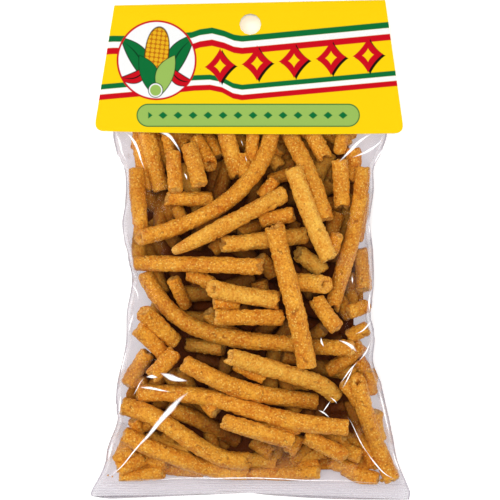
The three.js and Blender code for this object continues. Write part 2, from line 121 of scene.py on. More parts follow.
# The sticks that show, the top ones first: width and middle line in pixels, how pale they are,
# and what their first and last ends are: flat, ragged, hollow, open, halved or pointed
ShownStick = namedtuple(
    "ShownStick", "name width pixels pale first_end last_end", defaults=(0.2, "flat", "flat")
)
TOP_STICKS = [
    ("cross", 19, [(273.5, 222), (281, 255), (292, 297), (303, 345), (307.5, 370)], 0.35, "ragged"),
    ("pale", 18, [(292, 164), (303, 197), (314, 225), (330, 261)], 0.9, "ragged"),
    ("ramp", 17, [(172, 252), (200, 239), (230, 223), (260, 207), (286, 193)], 0.6, "pointed"),
    ("long_curve", 17, [
        (133, 240), (180, 226), (222, 205), (250, 179), (266, 153), (272.5, 130),
    ], 0.3, "hollow"),
    ("level", 16.5, [(134, 263), (200, 264.5), (264, 267)], 0.3, "flat", "ragged"),
    ("open_end", 18, [(204, 287), (240, 294.5), (283, 301)], 0.75, "hollow", "ragged"),
    ("square_cut", 15.5, [(214, 317), (284, 317.5)], 0.35),
    ("pale_sweep", 17.5, [(226, 355), (250, 362), (290, 374), (320, 384), (338, 398)], 0.8, "ragged"),
    ("low_sweep", 18, [(182, 362), (206, 374), (236, 387), (275, 396), (318, 402)], 0.3),
    ("stub", 17, [(176, 351), (150, 379)], 0.3, "flat", "ragged"),
    ("corner_long", 19, [
        (120, 405), (150, 414), (177, 431), (203, 448), (228, 459), (257, 461),
    ], 0.4, "flat", "hollow"),
    ("slope_long", 17.5, [(137, 393), (170, 393), (208, 397), (250, 409), (300, 422), (350, 428)], 0.35),
    ("end_on", 18, [(286, 281.5), (310, 283), (335, 286)], 0.5, "flat", "open"),
    ("right_stub", 17, [(314, 296), (326, 314), (338, 330)], 0.35, "ragged"),
]
CROSSING_STICKS = [  # those that pass under one of the top ones
    ("big_bend", 17.5, [(144, 272), (158, 296), (178, 317), (205, 331), (245, 340), (299, 344)], 0.35),
    ("right_long", 17, [
        (363, 166), (360, 198), (354, 230), (345, 262), (331, 311),
    ], 0.35, "flat", "ragged"),
    ("right_behind", 15, [(363, 192), (361, 216), (356, 242)]),
    ("upper_stub", 17.5, [(339, 158), (341, 185), (342, 211)], 0.4, "flat", "ragged"),
    ("upper_sweep", 17, [(287, 130), (300, 155), (312, 181), (321, 205), (326, 222)], 0.4),
    ("neck_left", 17.5, [(225, 128), (231, 152), (239, 180)], 0.4, "flat", "ragged"),
    ("leaning", 17, [(188, 144), (195, 166), (200, 187)], 0.4),
    ("upright", 15.5, [(173, 152), (176, 192)], 0.3),
    ("cross_left", 15.5, [(163, 198.5), (190, 199), (214, 199.5)], 0.3, "ragged"),
    ("left_edge", 16.5, [(136, 167), (138, 197), (142, 236)], 0.35),
    ("left_upper", 17, [(145, 127), (153, 158), (162, 192)], 0.4),
    ("middle", 16.5, [(219, 245), (250, 242), (308, 235)], 0.6, "ragged"),
    ("short_rise", 15, [(259, 221), (295, 214)], 0.3),
    ("broken", 17.5, [(292, 248), (327, 274)], 0.9, "halved", "ragged"),
    ("right_level", 17, [(305, 346), (354, 348.5)], 0.35),
    ("below_sweep", 17, [(220, 419), (255, 430), (294, 442)], 0.4, "ragged"),
    ("hollow", 17, [(251, 439), (280, 458)], 0.3, "flat", "hollow"),
    ("left_slope", 17, [(139, 309), (158, 325), (177, 344)], 0.35, "ragged"),
    ("left_slope_low", 16, [(136, 327), (150, 340), (166, 357)], 0.3),
    ("left_low", 17, [(149, 351), (138, 368), (127, 386)], 0.3),
    ("short_level", 15.5, [(184, 344), (225, 349)], 0.6, "ragged"),
    ("ragged_bit", 14, [(177, 330), (203, 338)], 0.4, "ragged"),
    ("tucked", 14, [(172, 277), (179, 291), (187, 308)]),
    ("bag_corner", 17, [(122, 433), (145, 445), (175, 456), (207, 467), (248, 474)], 0.35),
    ("under_slope", 17, [(166, 408), (192, 417), (217, 429), (242, 442)], 0.25),
    ("right_fall", 17, [(304, 435), (325, 446), (349, 458)], 0.35, "flat", "ragged"),
    ("right_foot", 18, [(356, 373), (364, 408), (375, 440), (392, 480)], 0.4, "hollow"),
    ("beside_foot", 14.5, [(349, 398), (359, 430), (374, 466)]),
    ("right_small", 15, [(347, 313), (369, 305)], 0.35),
]
GAP_STICKS = [  # those seen in the gaps and at the right edge
    ("right_rise", 15, [(347, 337), (369, 327)], 0.35),
    ("edge_drop", 16.5, [(358, 247), (362, 268), (364, 292)], 0.35),
    ("neck_dark", 15, [(195, 136), (204, 152), (213, 171)], 0.2, "flat", "hollow"),
    ("neck_dark_low", 15, [(206, 133), (219, 158)]),
    ("neck_middle", 14, [(253, 128), (252, 150), (251, 168)], 0.3),
    ("neck_right", 18, [(311, 130), (319, 147), (327, 162)], 0.4, "flat", "ragged"),
    ("neck_far_right", 14, [(343, 132), (339, 154)], 0.3),
    ("neck_far_left", 12, [(167, 132), (170, 154)], 0.3),
    ("behind_curve", 15, [(229, 160), (223, 182), (216, 205)]),
    ("under_curve", 15, [(163, 188), (161, 210), (160, 233)]),
    ("gap_left", 14, [(176, 206), (185, 224)]),
    ("gap_upper", 14, [(260, 198), (277, 178)]),
    ("gap_upper_right", 13, [(268, 181), (296, 172)]),
    ("gap_under_ramp", 13, [(238, 233), (266, 222)]),
    ("gap_middle_left", 14, [(211, 252), (226, 240)]),
    ("gap_middle", 16, [(258, 256), (275, 276)], 0.25),
    ("gap_ring", 18, [(257, 275), (264, 302)], 0.4, "open"),
    ("gap_small", 13, [(315, 257), (326, 271)]),
    ("gap_right_upper", 14, [(338, 233), (331, 254)]),
    ("gap_under_open", 13, [(212, 303), (240, 304.5)]),
    ("gap_behind_open", 14, [(187, 273), (214, 284)]),
    ("gap_under_bend", 14, [(177, 331), (225, 343)], 0.15),
    ("gap_right", 16, [(335, 294), (352, 319)]),
    ("gap_right_low", 16, [(326, 371), (345, 360), (363, 343)], 0.25),
    ("gap_edge", 15, [(372, 369), (368, 393)], 0.3),
    ("gap_under_sweep", 14, [(234, 363), (266, 379)]),
    ("gap_under_cross", 14, [(281, 356), (301, 359)]),
    ("gap_sweep_end", 14, [(327, 409), (347, 404)]),
    ("gap_slope_end", 13, [(322, 417), (352, 418)]),
    ("gap_left_low", 15, [(135, 418), (138, 438)]),
    ("gap_corner", 16, [(125, 441), (133, 461)], 0.3),
    ("corner_rise", 17, [(117, 469), (146, 455)], 0.3),
    ("corner_foot", 13, [(119, 477), (165, 472)], 0.3),
    ("foot_left", 14, [(148, 463.5), (172, 468), (205, 471)]),
    ("foot_middle", 14, [(215, 469), (262, 474), (320, 472)], 0.3),
    ("foot_rise", 16, [(290, 461), (312, 443)]),
    ("foot_right", 16, [(298, 469), (321, 461)]),
    ("foot_far_right", 17, [(327, 458), (358, 469)], 0.3),
    ("foot_last", 17, [(342, 464), (358, 473), (378, 479)], 0.35),
    ("gap_foot_left", 14, [(150, 404), (170, 401)]),
]
STICKS = [ShownStick(*row) for row in TOP_STICKS + CROSSING_STICKS + GAP_STICKS]

# Places of the film, in pixels, that hold no stick: left, top, right and bottom
CLEAR_PLACES = [
    (100, 125, 131, 168), (358, 125, 400, 168), (322, 469, 351, 490), (131, 279, 151, 301),
    (131, 334, 143, 351), (116, 414, 131, 426), (108, 440, 121, 451),
]
CLEAR_HEIGHT = 8.0  # height at which they are read

# The filling under them, in three rounds: tries, seed, the share of its width that a stick is packed
# with, its shortest and longest length, and whether it is forced in
FILLINGS = [
    (900, 5, 0.75, (14, 46), False),
    (700, 6, 0.45, (9, 24), False),
    (500, 7, 0.3, (9, 18), True),
]
FILLING_RADII = (3.1, 3.9)
FILLING_BEND = 0.12  # how far it may bend, as a share of its length
FILLING_SLIDE = 0.4  # how far it may slide along itself over the bare place
FILLING_PALE = (0.1, 0.6)
FILLING_DEPTH = 7.0  # how far the filling stays under the crown
FILLING_ENDS = (-97, 60)  # its lowest and highest y
NEAR = 2.3  # radii round a stick within which the ones above it are looked for
CREST_STEP = 0.6  # mm between the places where a stick's crest is read
CREST_SPREAD = 0.3  # how much thicker than drawn it counts there
NO_STICK = -50.0  # the crest's height where no stick is

# Fineness of the sticks: mm between rings, and points round a stick
FINE_STICK = (0.62, 40)
GAP_STICK = (0.75, 32)
HIDDEN_STICK = (1.3, 20)
END_RINGS = 7  # rings in each end face

# The kinds of end: how ragged the rim is, how far the upper side is cut back in radii, whether it is
# hollow, and how far in along the stick and how wide each ring of the face is, in radii
End = namedtuple("End", "tear slant hollow rings")
ENDS = {
    "flat": End(0.6, 0.12, False, [
        (0.10, 0.0), (0.05, 0.3), (0.02, 0.55), (0.0, 0.76), (0.04, 0.9), (0.14, 0.98), (0.34, 1.0),
    ]),
    "ragged": End(1.35, 0.3, False, [
        (0.45, 0.0), (0.3, 0.3), (0.14, 0.55), (0.0, 0.76), (0.05, 0.9), (0.2, 0.98), (0.42, 1.0),
    ]),
    "hollow": End(0.8, 0.75, True, [
        (1.3, 0.0), (1.2, 0.24), (0.6, 0.33), (0.15, 0.4), (0.0, 0.62), (0.04, 0.88), (0.3, 1.0),
    ]),
    "open": End(0.45, 0.95, True, [
        (1.9, 0.0), (1.8, 0.3), (0.9, 0.34), (0.12, 0.38), (0.0, 0.58), (0.05, 0.88), (0.2, 1.0),
    ]),
    "halved": End(1.7, 0.7, False, [
        (1.9, 0.0), (1.8, 0.4), (0.9, 0.55), (0.3, 0.66), (0.0, 0.8), (0.04, 0.92), (0.3, 1.0),
    ]),
    "pointed": End(0.4, 0.0, False, [
        (0.0, 0.0), (0.06, 0.3), (0.25, 0.5), (0.7, 0.64), (1.6, 0.76), (3.0, 0.87), (4.6, 0.96),
    ]),
}
CUT_REACH = (3.5, 0.5)  # a slanted cut fades over this many radii, or this share of the length
CUT_LIMIT = 0.4  # the deepest cut as a share of that stretch

# Unevenness of a stick: its lumps, its oval section, and the crust's relief as (height, size, shift)
WIDTH_TRIM = 0.95  # the crust's lumps stand out round a slightly thinner stick
SWELL = 0.05
SWELL_SIZE = 7.0
OVAL = 0.035
RELIEF = [(0.16, 2.3, 0), (0.25, 1.2, 50), (0.23, 0.8, 90)]
PIT_FROM = 0.45
PIT_DEPTH = 0.38
OWN_PLACE = np.array([7.31, 3.17, 0.0])  # each stick takes its grain from another place

SHADE_FROM = 6.5  # depth under the film where painted shade starts on the crust
SHADE_OVER = 14.0
PALE_SHADE = 1.3  # a pale stick takes less painted shade

# The heap's core, and the crumbs
CORE_ENDS = (51.0, -97.0)  # its upper and lower y
CORE_INSET = 3.0
CORE_HEIGHT = 3.8
CORE_HALF = 1.5  # half of its thickness
CORE_AROUND = 120
CORE_RINGS = 150
CORE_EXTRA_SHADE = 0.25  # more painted shade added to the core
CRUMBS = 130
CRUMB_SIZES = (0.3, 0.85)
CRUMB_SEED = 31

# The film
FILM_PITCH = 0.6  # between the places where its height is worked out
FILM_ROUNDS = 700  # of the calculation that draws it tight
FILM_LIFT = 0.35  # film over the sticks' crests
FILM_SHY = 0.12  # clear space between the film and what it holds
FILM_FRONT = 184  # points across the film's front
FILM_BACK = 60
FILM_RINGS = 330  # those in the neck and in the seal among them
NECK_RINGS = 31
SEAL_RINGS = 17
SEAL_FRONT = 3.95  # heights of the flat seal
SEAL_MIDDLE = 3.8
SEAL_BACK = 3.65
NECK_HELD = 86.0  # from here up the neck lies still
BACK_TINT = 0.53  # share of the edge's tint in the film's back
CREASE_LIFT = 0.3  # middle of a crease over the film
CREASE_AROUND = 12

# Creases of the film, each a slender ridge with a painted highlight: points in pixels, width in mm, and
# where along it is widest
Crease = namedtuple("Crease", "pixels width peak", defaults=(0.5,))
CREASE_HIGHLIGHTS = [Crease(*row) for row in [
    ([(125, 131), (133, 140), (138, 150), (141, 160), (145, 170)], 1.5, 0.35),
    ([(115, 131), (120, 143), (122, 152), (128, 164)], 0.9, 0.4),
    ([(117, 150), (121, 162), (127, 171)], 0.7),
    ([(158, 132), (168, 135), (175, 143), (181, 153)], 1.7, 0.3),
    ([(374, 132), (360, 141), (351, 150), (338, 163)], 1.7, 0.55),
    ([(383, 136), (378, 144), (366, 152), (351, 158)], 1.3),
    ([(384, 147), (377, 158), (374, 166)], 0.9),
    ([(160, 373), (168, 376), (176, 379), (188, 381)], 3.0, 0.4),
    ([(146, 377), (152, 376.5), (158, 377.5)], 1.7),
    ([(133, 396), (137, 389), (140, 383), (145, 377)], 0.5),
    ([(139, 387), (150, 388), (160, 390), (171, 392)], 1.3, 0.35),
    ([(189, 392), (180, 399), (171, 409), (160, 421), (148, 436), (135, 450)], 2.9, 0.3),
    ([(152, 430), (135, 450), (122, 466), (110, 476), (104, 480)], 0.8, 0.25),
    ([(347, 416), (352, 424), (358, 437), (364, 448), (371, 457)], 0.55, 0.6),
    ([(366, 451), (374, 462), (384, 473), (396, 480)], 0.8, 0.4),
    ([(338, 340), (346, 343), (352, 347), (357, 352)], 1.8, 0.7),
    ([(321, 337), (321.5, 342), (324, 347)], 1.0),
    ([(358, 361), (350, 370), (345, 377), (340, 384)], 0.8, 0.4),
    ([(354, 365), (350, 374), (346, 382), (342, 389)], 0.7),
    ([(318, 410), (324, 413), (330, 418)], 0.8, 0.4),
    ([(331, 400), (327, 406), (322, 413)], 0.6),
    ([(330, 397), (335, 401), (337, 404)], 0.6),
    ([(184, 173), (186, 176), (187, 180)], 0.8),
    ([(241, 140), (243, 146)], 0.35),
    ([(245, 156), (247, 162)], 0.3),
    ([(352, 275), (352.5, 284)], 0.8),
    ([(131, 283), (136, 290), (139, 301)], 0.7),
    ([(134, 311), (131, 322), (129, 335)], 0.8, 0.4),
    ([(128, 344), (124, 360), (120, 378)], 0.8, 0.6),
    ([(121, 392), (120, 405), (119, 417)], 0.7),
    ([(113, 441), (110, 452), (108, 461)], 1.4),
    ([(370, 214), (369, 226), (371, 240)], 0.6),
    ([(371, 290), (369, 302), (370, 314)], 0.8),
    ([(372, 318), (368, 325), (362, 331), (355, 334)], 0.8),
    ([(371, 340), (366, 352), (358, 362)], 0.7),
    ([(378, 386), (382, 402), (386, 420), (391, 440)], 1.0, 0.3),
    ([(392, 448), (396, 462), (402, 476)], 0.8),
    ([(106, 480.5), (170, 479), (235, 478), (300, 480), (360, 482), (398, 483.5)], 0.55),
]]


# Places in the photo and in the bag


def place(pixel, z):
    """A pixel's place, in millimetres, for a point at height z over the floor."""
    scale = MM_PER_PIXEL * (1 - z / VIEW_HEIGHT)
    return (pixel[0] - MIDDLE_PIXEL[0]) * scale, (MIDDLE_PIXEL[1] - pixel[1]) * scale


def curve(before, a, b, after, s):
    """A smooth curve from a to b at share s, led by the points before and after them."""
    leave = (b - before) / 2
    arrive = (after - a) / 2
    return (
        a * (2 * s**3 - 3 * s**2 + 1)
        + leave * (s**3 - 2 * s**2 + s)
        + b * (3 * s**2 - 2 * s**3)
        + arrive * (s**3 - s**2)
    )


def smooth_line(rows, key, column, at):
    """A table's column as a smooth line over its key column, read at one place or at many."""
    table = np.array(rows, float)
    keys = table[:, key]
    values = table[:, column]
    last = len(rows) - 1
    i = np.clip(np.searchsorted(keys, at, side="left") - 1, 0, last - 1)
    s = np.clip((at - keys[i]) / (keys[i + 1] - keys[i]), 0, 1)
    return curve(values[np.maximum(i - 1, 0)], values[i], values[i + 1], values[np.minimum(i + 2, last)], s)


def section(y):
    """Heights of the bag's front, back and side folds at y."""
    front, back, fold = (smooth_line(SECTIONS, 0, column, y) for column in (1, 2, 3))
    return front, np.maximum(back, 0), fold


def folds(y, z):
    """Middle and half width between the side folds at y."""
    scale = MM_PER_PIXEL * (1 - z / VIEW_HEIGHT)
    down = MIDDLE_PIXEL[1] - y / scale
    left, right = (
        (smooth_line(side, 1, 0, down) - MIDDLE_PIXEL[0]) * scale for side in (LEFT_FOLD, RIGHT_FOLD)
    )
    return (left + right) / 2, (right - left) / 2


def off_middle(x, y, fold):
    """How far x lies off the bag's middle, as a share of the half width there."""
    middle, half = folds(y, fold)
    return np.abs((x - middle) / half)


def crown(x, y):
    """The smooth surface that the highest sticks touch."""
    front, _, fold = section(y)
    u = np.minimum(off_middle(x, y, fold), 1)
    return fold + (front - fold) * (1 - u**CROWN_POWER) ** CROWN_ROUND


def back_height(x, y):
    """The back lies on the floor in the middle and rises to the side folds."""
    _, back, fold = section(y)
    u = np.minimum(off_middle(x, y, fold), 1)
    flare = np.maximum(0, (u - BACK_FLAT) / (1 - BACK_FLAT)) ** BACK_CURL
    return back + (fold - FILM_EDGE / 2 - back) * flare


def seal_line(x):
    """The inner line of the bottom seal."""
    aside = MIDDLE_PIXEL[0] + x / MM_PER_PIXEL - SEAL_CREST[0]
    down = SEAL_CREST[1] + SEAL_FALLS[1] * np.maximum(aside, 0) + SEAL_FALLS[0] * np.maximum(-aside, 0)
    return (MIDDLE_PIXEL[1] - down) * MM_PER_PIXEL


def is_clear(x, y, margin):
    """Whether points, with a margin round them, reach a place that holds no stick."""
    found = np.zeros(np.shape(x), bool)
    for left, top, right, bottom in CLEAR_PLACES:
        x0, y1 = place((left, top), CLEAR_HEIGHT)
        x1, y0 = place((right, bottom), CLEAR_HEIGHT)
        found |= (x > x0 - margin) & (x < x1 + margin) & (y > y0 - margin) & (y < y1 + margin)
    return found


def card_inside(x, y):
    """Height of the inner face of the card's front panel."""
    left, right = (place(pixel, FOLD_HEIGHT) for pixel in CARD_FOLD)
    fold = left[1] + (right[1] - left[1]) * (x - left[0]) / (right[0] - left[0])
    share = np.clip((fold - y) / PANEL_REACH, 0, 1)
    bow = FRONT_BOW * share * (x / CARD_HALF_WIDTH) ** 2
    return FOLD_HEIGHT + FOLD_RADIUS + FRONT_RISE * share - bow - CARD_THICK / 2


# Noise on a lattice of random numbers


class Grain:
    """Smooth random numbers over space, from -1 to 1."""

    SIDE = 32
    FAR = 1000.0  # keeps the lattice's places above nought

    def __init__(self, seed):
        self.lattice = np.random.default_rng(seed).uniform(-1, 1, (self.SIDE,) * 3)

    def __call__(self, points, size):
        p = np.asarray(points, float) / size + self.FAR
        whole = np.floor(p).astype(int)
        part = p - whole
        part = part * part * (3 - 2 * part)
        total = 0
        for corner in np.ndindex(2, 2, 2):
            share = 1
            for axis in range(3):
                share = share * (part[..., axis] if corner[axis] else 1 - part[..., axis])
            cell = (whole + corner) % self.SIDE
            total = total + share * self.lattice[cell[..., 0], cell[..., 1], cell[..., 2]]
        return total


grain = Grain(11)
lumps = Grain(12)
wrinkle = Grain(21)


# Laying the sticks

Stick = namedtuple("Stick", "radius line pale first_end last_end")


def line_length(line):
    return float(np.linalg.norm(np.diff(line, axis=0), axis=1).sum())


def read_line(far, line, at):
    """Points of a line at given distances along it."""
    return np.stack([np.interp(at, far, line[:, axis]) for axis in range(3)], axis=1)


def curve_points(points, count):
    """Evenly spaced points on a smooth curve through the given ones, and its length."""
    p = np.asarray(points, float)
    first = 2 * p[0] - p[1]
    last = 2 * p[-1] - p[-2]
    p = np.vstack([first, p, last])
    t = np.linspace(0, len(p) - 3, 201)
    i = np.minimum(t.astype(int), len(p) - 4)
    line = curve(p[i], p[i + 1], p[i + 2], p[i + 3], (t - i)[:, None])
    far = np.concatenate([[0], np.cumsum(np.linalg.norm(np.diff(line, axis=0), axis=1))])
    return read_line(far, line, np.linspace(0, far[-1], count)), far[-1]


def lie_under(ceilings, length):
    """The highest straight lie under a row of ceilings, as heights at its two ends."""
    share = np.linspace(0, 1, len(ceilings))
    best = None
    for tilt in range(-SLOPE_TRIES, SLOPE_TRIES + 1):
        rise = STICK_SLOPE * length * tilt / SLOPE_TRIES
        start = float(np.min(ceilings - rise * share))
        worth = start + rise / 2 - LEVEL_LIKING * abs(rise)
        if best is None or worth > best[0]:
            best = (worth, start, start + rise)
    return best[1], best[2]


def under_placed(line, radius, placed):
    """How high the middle of a stick may be under the ones already placed."""
    ceiling = np.full(len(line), np.inf)
    low = line[:, :2].min(axis=0) - NEAR * radius
    high = line[:, :2].max(axis=0) + NEAR * radius
    for other_radius, other in placed:
        if np.any(other[:, :2].max(axis=0) < low) or np.any(other[:, :2].min(axis=0) > high):
            continue
        reach = STICK_CONTACT * (radius + other_radius)
        apart = ((line[:, None, :2] - other[None, :, :2]) ** 2).sum(axis=2)
        touch = other[None, :, 2] - np.sqrt(np.maximum(reach**2 - apart, 0))
        ceiling = np.minimum(ceiling, np.where(apart < reach**2, touch, np.inf).min(axis=1))
    return ceiling


def lay_shown_sticks():
    """Lays the sticks from the top down, each as high as the crown and the ones above let it lie."""
    laid = []
    for row in STICKS:
        radius = row.width * MM_PER_PIXEL / 2
        placed = [(stick.radius, stick.line) for stick in laid]
        heights = (FIRST_HEIGHT, FIRST_HEIGHT)
        for _ in range(3):
            rises = np.linspace(heights[0], heights[1], len(row.pixels))
            flat = [(*place(pixel, rise), 0.0) for pixel, rise in zip(row.pixels, rises)]
            _, length = curve_points(flat, 2)
            steps = max(4, int(length / LAY_STEP + 0.5))
            line, _ = curve_points(flat, steps + 1)
            share = np.linspace(0, 1, steps + 1)
            bow = STICK_BOW * length * 4 * share * (1 - share)
            x, y, _ = line.T
            free = crown(x, y)
            push = END_PUSH * (2 * share - 1) ** 2 * np.clip((NECK_TAMED - y) / TAMED_OVER, 0, 1)
            ceiling = free + push * (section(y)[0] - free) - radius
            ceiling = np.minimum(ceiling, under_placed(line, radius, placed)) - bow
            heights = lie_under(ceiling, length)
            lie = heights[0] + (heights[1] - heights[0]) * share + bow
            line[:, 2] = np.maximum(lie, back_height(x, y) + radius + FILM_EDGE)
        laid.append(Stick(radius, line, row.pale, row.first_end, row.last_end))
    return laid


def stick_crests(sticks, xs, ys, side):
    """The height of the sticks' upper side (side 1) or lower side (side -1), times side, over a grid."""
    crests = np.full((len(ys), len(xs)), NO_STICK)
    pitch = xs[1] - xs[0]
    for stick in sticks:
        points, _ = curve_points(stick.line, max(3, int(line_length(stick.line) / CREST_STEP)))
        reach = stick.radius + CREST_SPREAD
        n = int(reach / pitch) + 1
        for p in points:
            i = int(round((p[0] - xs[0]) / pitch))
            j = int(round((p[1] - ys[0]) / pitch))
            rows = slice(max(j - n, 0), max(min(j + n + 1, len(ys)), 0))
            columns = slice(max(i - n, 0), max(min(i + n + 1, len(xs)), 0))
            d2 = (xs[None, columns] - p[0]) ** 2 + (ys[rows, None] - p[1]) ** 2
            crest = side * p[2] + np.sqrt(np.maximum(reach**2 - d2, 0))
            crest = np.where(d2 < reach**2, crest, NO_STICK)
            crests[rows, columns] = np.maximum(crests[rows, columns], crest)
    return crests


def lay_filling(shown, tries, seed, squeeze, lengths, forced):
    """Fills the places where the floor would show with lower sticks, packed as if a bit thinner.

    A forced filling lies on the film's back even where it sinks into the sticks above it.
    """
    random = np.random.default_rng(seed)
    placed = [(stick.radius * squeeze, stick.line) for stick in shown]
    xs = np.arange(-70, 70, 1.0)
    ys = np.arange(-98, 60, 1.0)
    x, y = np.meshgrid(xs, ys)
    middle, half = folds(y, section(y)[2])
    bare = (np.abs(x - middle) < half - 3.2) & (stick_crests(shown, xs, ys, 1) < 0)
    bare &= ~is_clear(x, y, 0)
    laid = []
    for _ in range(tries):
        open_rows, open_columns = np.nonzero(bare)
        if len(open_rows) == 0:
            break
        pick = random.integers(len(open_rows))
        turn = random.uniform(0, math.pi)
        length = random.uniform(*lengths)
        radius = random.uniform(*FILLING_RADII)
        bend = random.uniform(-FILLING_BEND, FILLING_BEND) * length
        slide = random.uniform(-FILLING_SLIDE, FILLING_SLIDE) * length
        share = np.linspace(0, 1, max(5, int(length / 3)))
        along = (share - 0.5) * length + slide
        aside = bend * (1 - (2 * share - 1) ** 2)
        px = xs[open_columns[pick]] + along * math.cos(turn) - aside * math.sin(turn)
        py = ys[open_rows[pick]] + along * math.sin(turn) + aside * math.cos(turn)
        if py.min() < FILLING_ENDS[0] or py.max() > FILLING_ENDS[1]:
            continue
        mid, wide = folds(py, section(py)[2])
        if np.any(np.abs(px - mid) > wide - radius - 0.8) or np.any(is_clear(px, py, radius / 2)):
            continue
        line = np.stack([px, py, np.zeros_like(px)], axis=1)
        free = crown(px, py)
        hidden = free - radius - FILLING_DEPTH * np.clip((free - 12) / 12, 0.1, 1)
        ceiling = np.minimum(hidden, under_placed(line, radius * squeeze, placed))
        low, high = lie_under(ceiling, length)
        line[:, 2] = low + (high - low) * share
        rests = back_height(px, py) + radius * 0.8
        if forced:
            line[:, 2] = np.maximum(line[:, 2], rests)
        elif np.any(line[:, 2] < rests):
            continue
        placed.append((radius * squeeze, line))
        laid.append(Stick(radius, line, random.uniform(*FILLING_PALE), "flat", "flat"))
        bare &= stick_crests(laid[-1:], xs, ys, 1) < 0
    return laid


# Meshes


def blank_ball(bm, around, rings):
    """A closed ball of rings, with the ring and the place round it of each new point."""
    made = bmesh.ops.create_uvsphere(bm, u_segments=around, v_segments=rings, radius=1)["verts"]
    co = np.array([v.co[:] for v in made])
    ring = np.rint(np.arccos(np.clip(co[:, 2], -1, 1)) / math.pi * rings).astype(int)
    turn = np.arctan2(co[:, 1], co[:, 0])
    return made, ring, turn


def move_points(made, places):
    for v, p in zip(made, places):
        v.co = p


def join_parts(parts):
    """One bmesh of many parts and their values; made apart, they take far less time."""
    whole = bmesh.new()
    one = bpy.data.meshes.new("one_part")
    values = []
    for bm, part_values in parts:
        bm.to_mesh(one)
        bm.free()
        whole.from_mesh(one)
        values.append(part_values)
    bpy.data.meshes.remove(one)
    return whole, np.vstack(values)


def add_object(name, data):
    made = bpy.data.objects.new(name, data)
    bpy.context.scene.collection.objects.link(made)
    return made


def add_mesh(name, bm, material):
    """Turns a bmesh into an object of its own."""
    mesh = bpy.data.meshes.new(name)
    bm.to_mesh(mesh)
    bm.free()
    mesh.materials.append(material)
    return add_object(name, mesh)


def finish_piece(name, bm, layer, values, material):
    """Turns a bmesh in millimetres into a smooth piece of the bag, in metres, with one attribute."""
    bmesh.ops.transform(bm, matrix=TO_METRES, verts=bm.verts)
    piece = add_mesh(name, bm, material)
    mesh = piece.data
    attribute = mesh.attributes.new(layer, "FLOAT_COLOR", "POINT")
    attribute.data.foreach_set("color", np.asarray(values, np.float32).ravel())
    mesh.polygons.foreach_set("use_smooth", np.ones(len(mesh.polygons), bool))
    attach(piece, "root")
    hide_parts("bag")


# The sticks and what lies with them


def ring_places(stick, length, rings):
    """How far along the stick and how wide, in radii, each of its rings is."""
    inward = np.zeros(rings + 1)
    wide = np.ones(rings + 1)
    for k, (depth, share) in enumerate(ENDS[stick.first_end].rings):
        inward[k] = depth * stick.radius
        wide[k] = share
    for k, (depth, share) in enumerate(ENDS[stick.last_end].rings):
        inward[rings - k] = length - depth * stick.radius
        wide[rings - k] = share
    first = END_RINGS - 1
    last = rings - first
    inward[first : last + 1] = np.linspace(inward[first], inward[last], last - first + 1)
    return inward, wide


def painted_shade_depth(envelope, co):
    """How deep points lie under the film, from 0 where the painted shade starts on the crust."""
    return (envelope.front(co[:, 0], co[:, 1]) - co[:, 2] - SHADE_FROM) / SHADE_OVER


def stick_part(stick, number, fineness, envelope):
    """One uneven stick and its points' values: paleness, end face, pit and painted shade."""
    ring_every, around = fineness
    radius = stick.radius
    length = line_length(stick.line)
    rings = max(4, int(length / ring_every)) + 2 * END_RINGS
    bm = bmesh.new()
    made, ring, turn = blank_ball(bm, around, rings)
    inward, wide = ring_places(stick, length, rings)
    steps = 4 * len(stick.line)
    far = np.linspace(0, length, steps)
    middle, _ = curve_points(stick.line, steps)
    along = np.gradient(middle, axis=0)
    along /= np.linalg.norm(along, axis=1)[:, None]
    side = np.cross(along, [0.0, 0.0, 1.0])
    side /= np.maximum(np.linalg.norm(side, axis=1), 1e-9)[:, None]
    up = np.cross(side, along)
    s = inward[ring]
    face = np.minimum(ring, rings - ring)
    own = number * OWN_PLACE
    across = radius * np.cos(turn)
    high = radius * np.sin(turn)
    flat = np.stack([s, across, high], axis=1) + own
    # The section is a little oval, swells and shrinks along the stick, and its crust has pits
    swell = 1 + SWELL * lumps(flat * [1, 0.2, 0.2], SWELL_SIZE) + OVAL * np.cos(2 * turn + number)
    pit = np.clip(grain(flat + 20, 1.5) - PIT_FROM, 0, 1)
    rough = sum(height * grain(flat + shift, size) for height, size, shift in RELIEF) - PIT_DEPTH * pit
    out = WIDTH_TRIM * radius * wide[ring] * swell + rough * np.clip((face - 2) / 5.0, 0, 1)
    # Torn ends wander along the stick, and a slanted one is cut back on its upper side
    first = ring < rings / 2
    first_end = ENDS[stick.first_end]
    last_end = ENDS[stick.last_end]
    near_rim = np.where(face <= END_RINGS, 1 - np.clip((face - 3) / 5.0, 0, 1), 0)
    wander = lumps(np.stack([across, high, 0 * turn], axis=1) + own, 2.6) + 0.6 * grain(flat + 130, 1.3)
    torn = np.where(first, first_end.tear, last_end.tear) * near_rim * (wander + 0.4)
    reach = min(CUT_REACH[0] * radius, CUT_REACH[1] * length)
    near_end = np.clip(1 - np.where(first, s, length - s) / reach, 0, 1)
    lean = np.minimum(np.where(first, first_end.slant, last_end.slant) * radius, CUT_LIMIT * reach)
    cut_back = lean * (out / radius * np.sin(turn) + 1) * near_end
    moved = np.clip(s + np.where(first, 1.0, -1.0) * (torn + cut_back), 0, length)
    aside = np.cos(turn)[:, None] * read_line(far, side, s) + np.sin(turn)[:, None] * read_line(far, up, s)
    co = read_line(far, middle, moved) + out[:, None] * aside
    # Painted shade: the deeper under the film, the darker the crust, a pale stick less
    shade = np.clip(painted_shade_depth(envelope, co) * (PALE_SHADE - stick.pale), 0, 1)
    move_points(made, envelope.keep_inside(co))
    # A hollow end's hole takes the pit colour in full, a painted shade in the hollow
    hole = np.where(first, first_end.hollow, last_end.hollow) & (face <= 2)
    inside = np.where(hole, 0, np.clip(1 - (face - 1) / 4.0, 0, 1))
    pit = np.where(hole, 1.0, np.clip(pit * 2.5, 0, 1))
    return bm, np.stack([np.full(len(s), stick.pale), inside, pit, shade], axis=1)


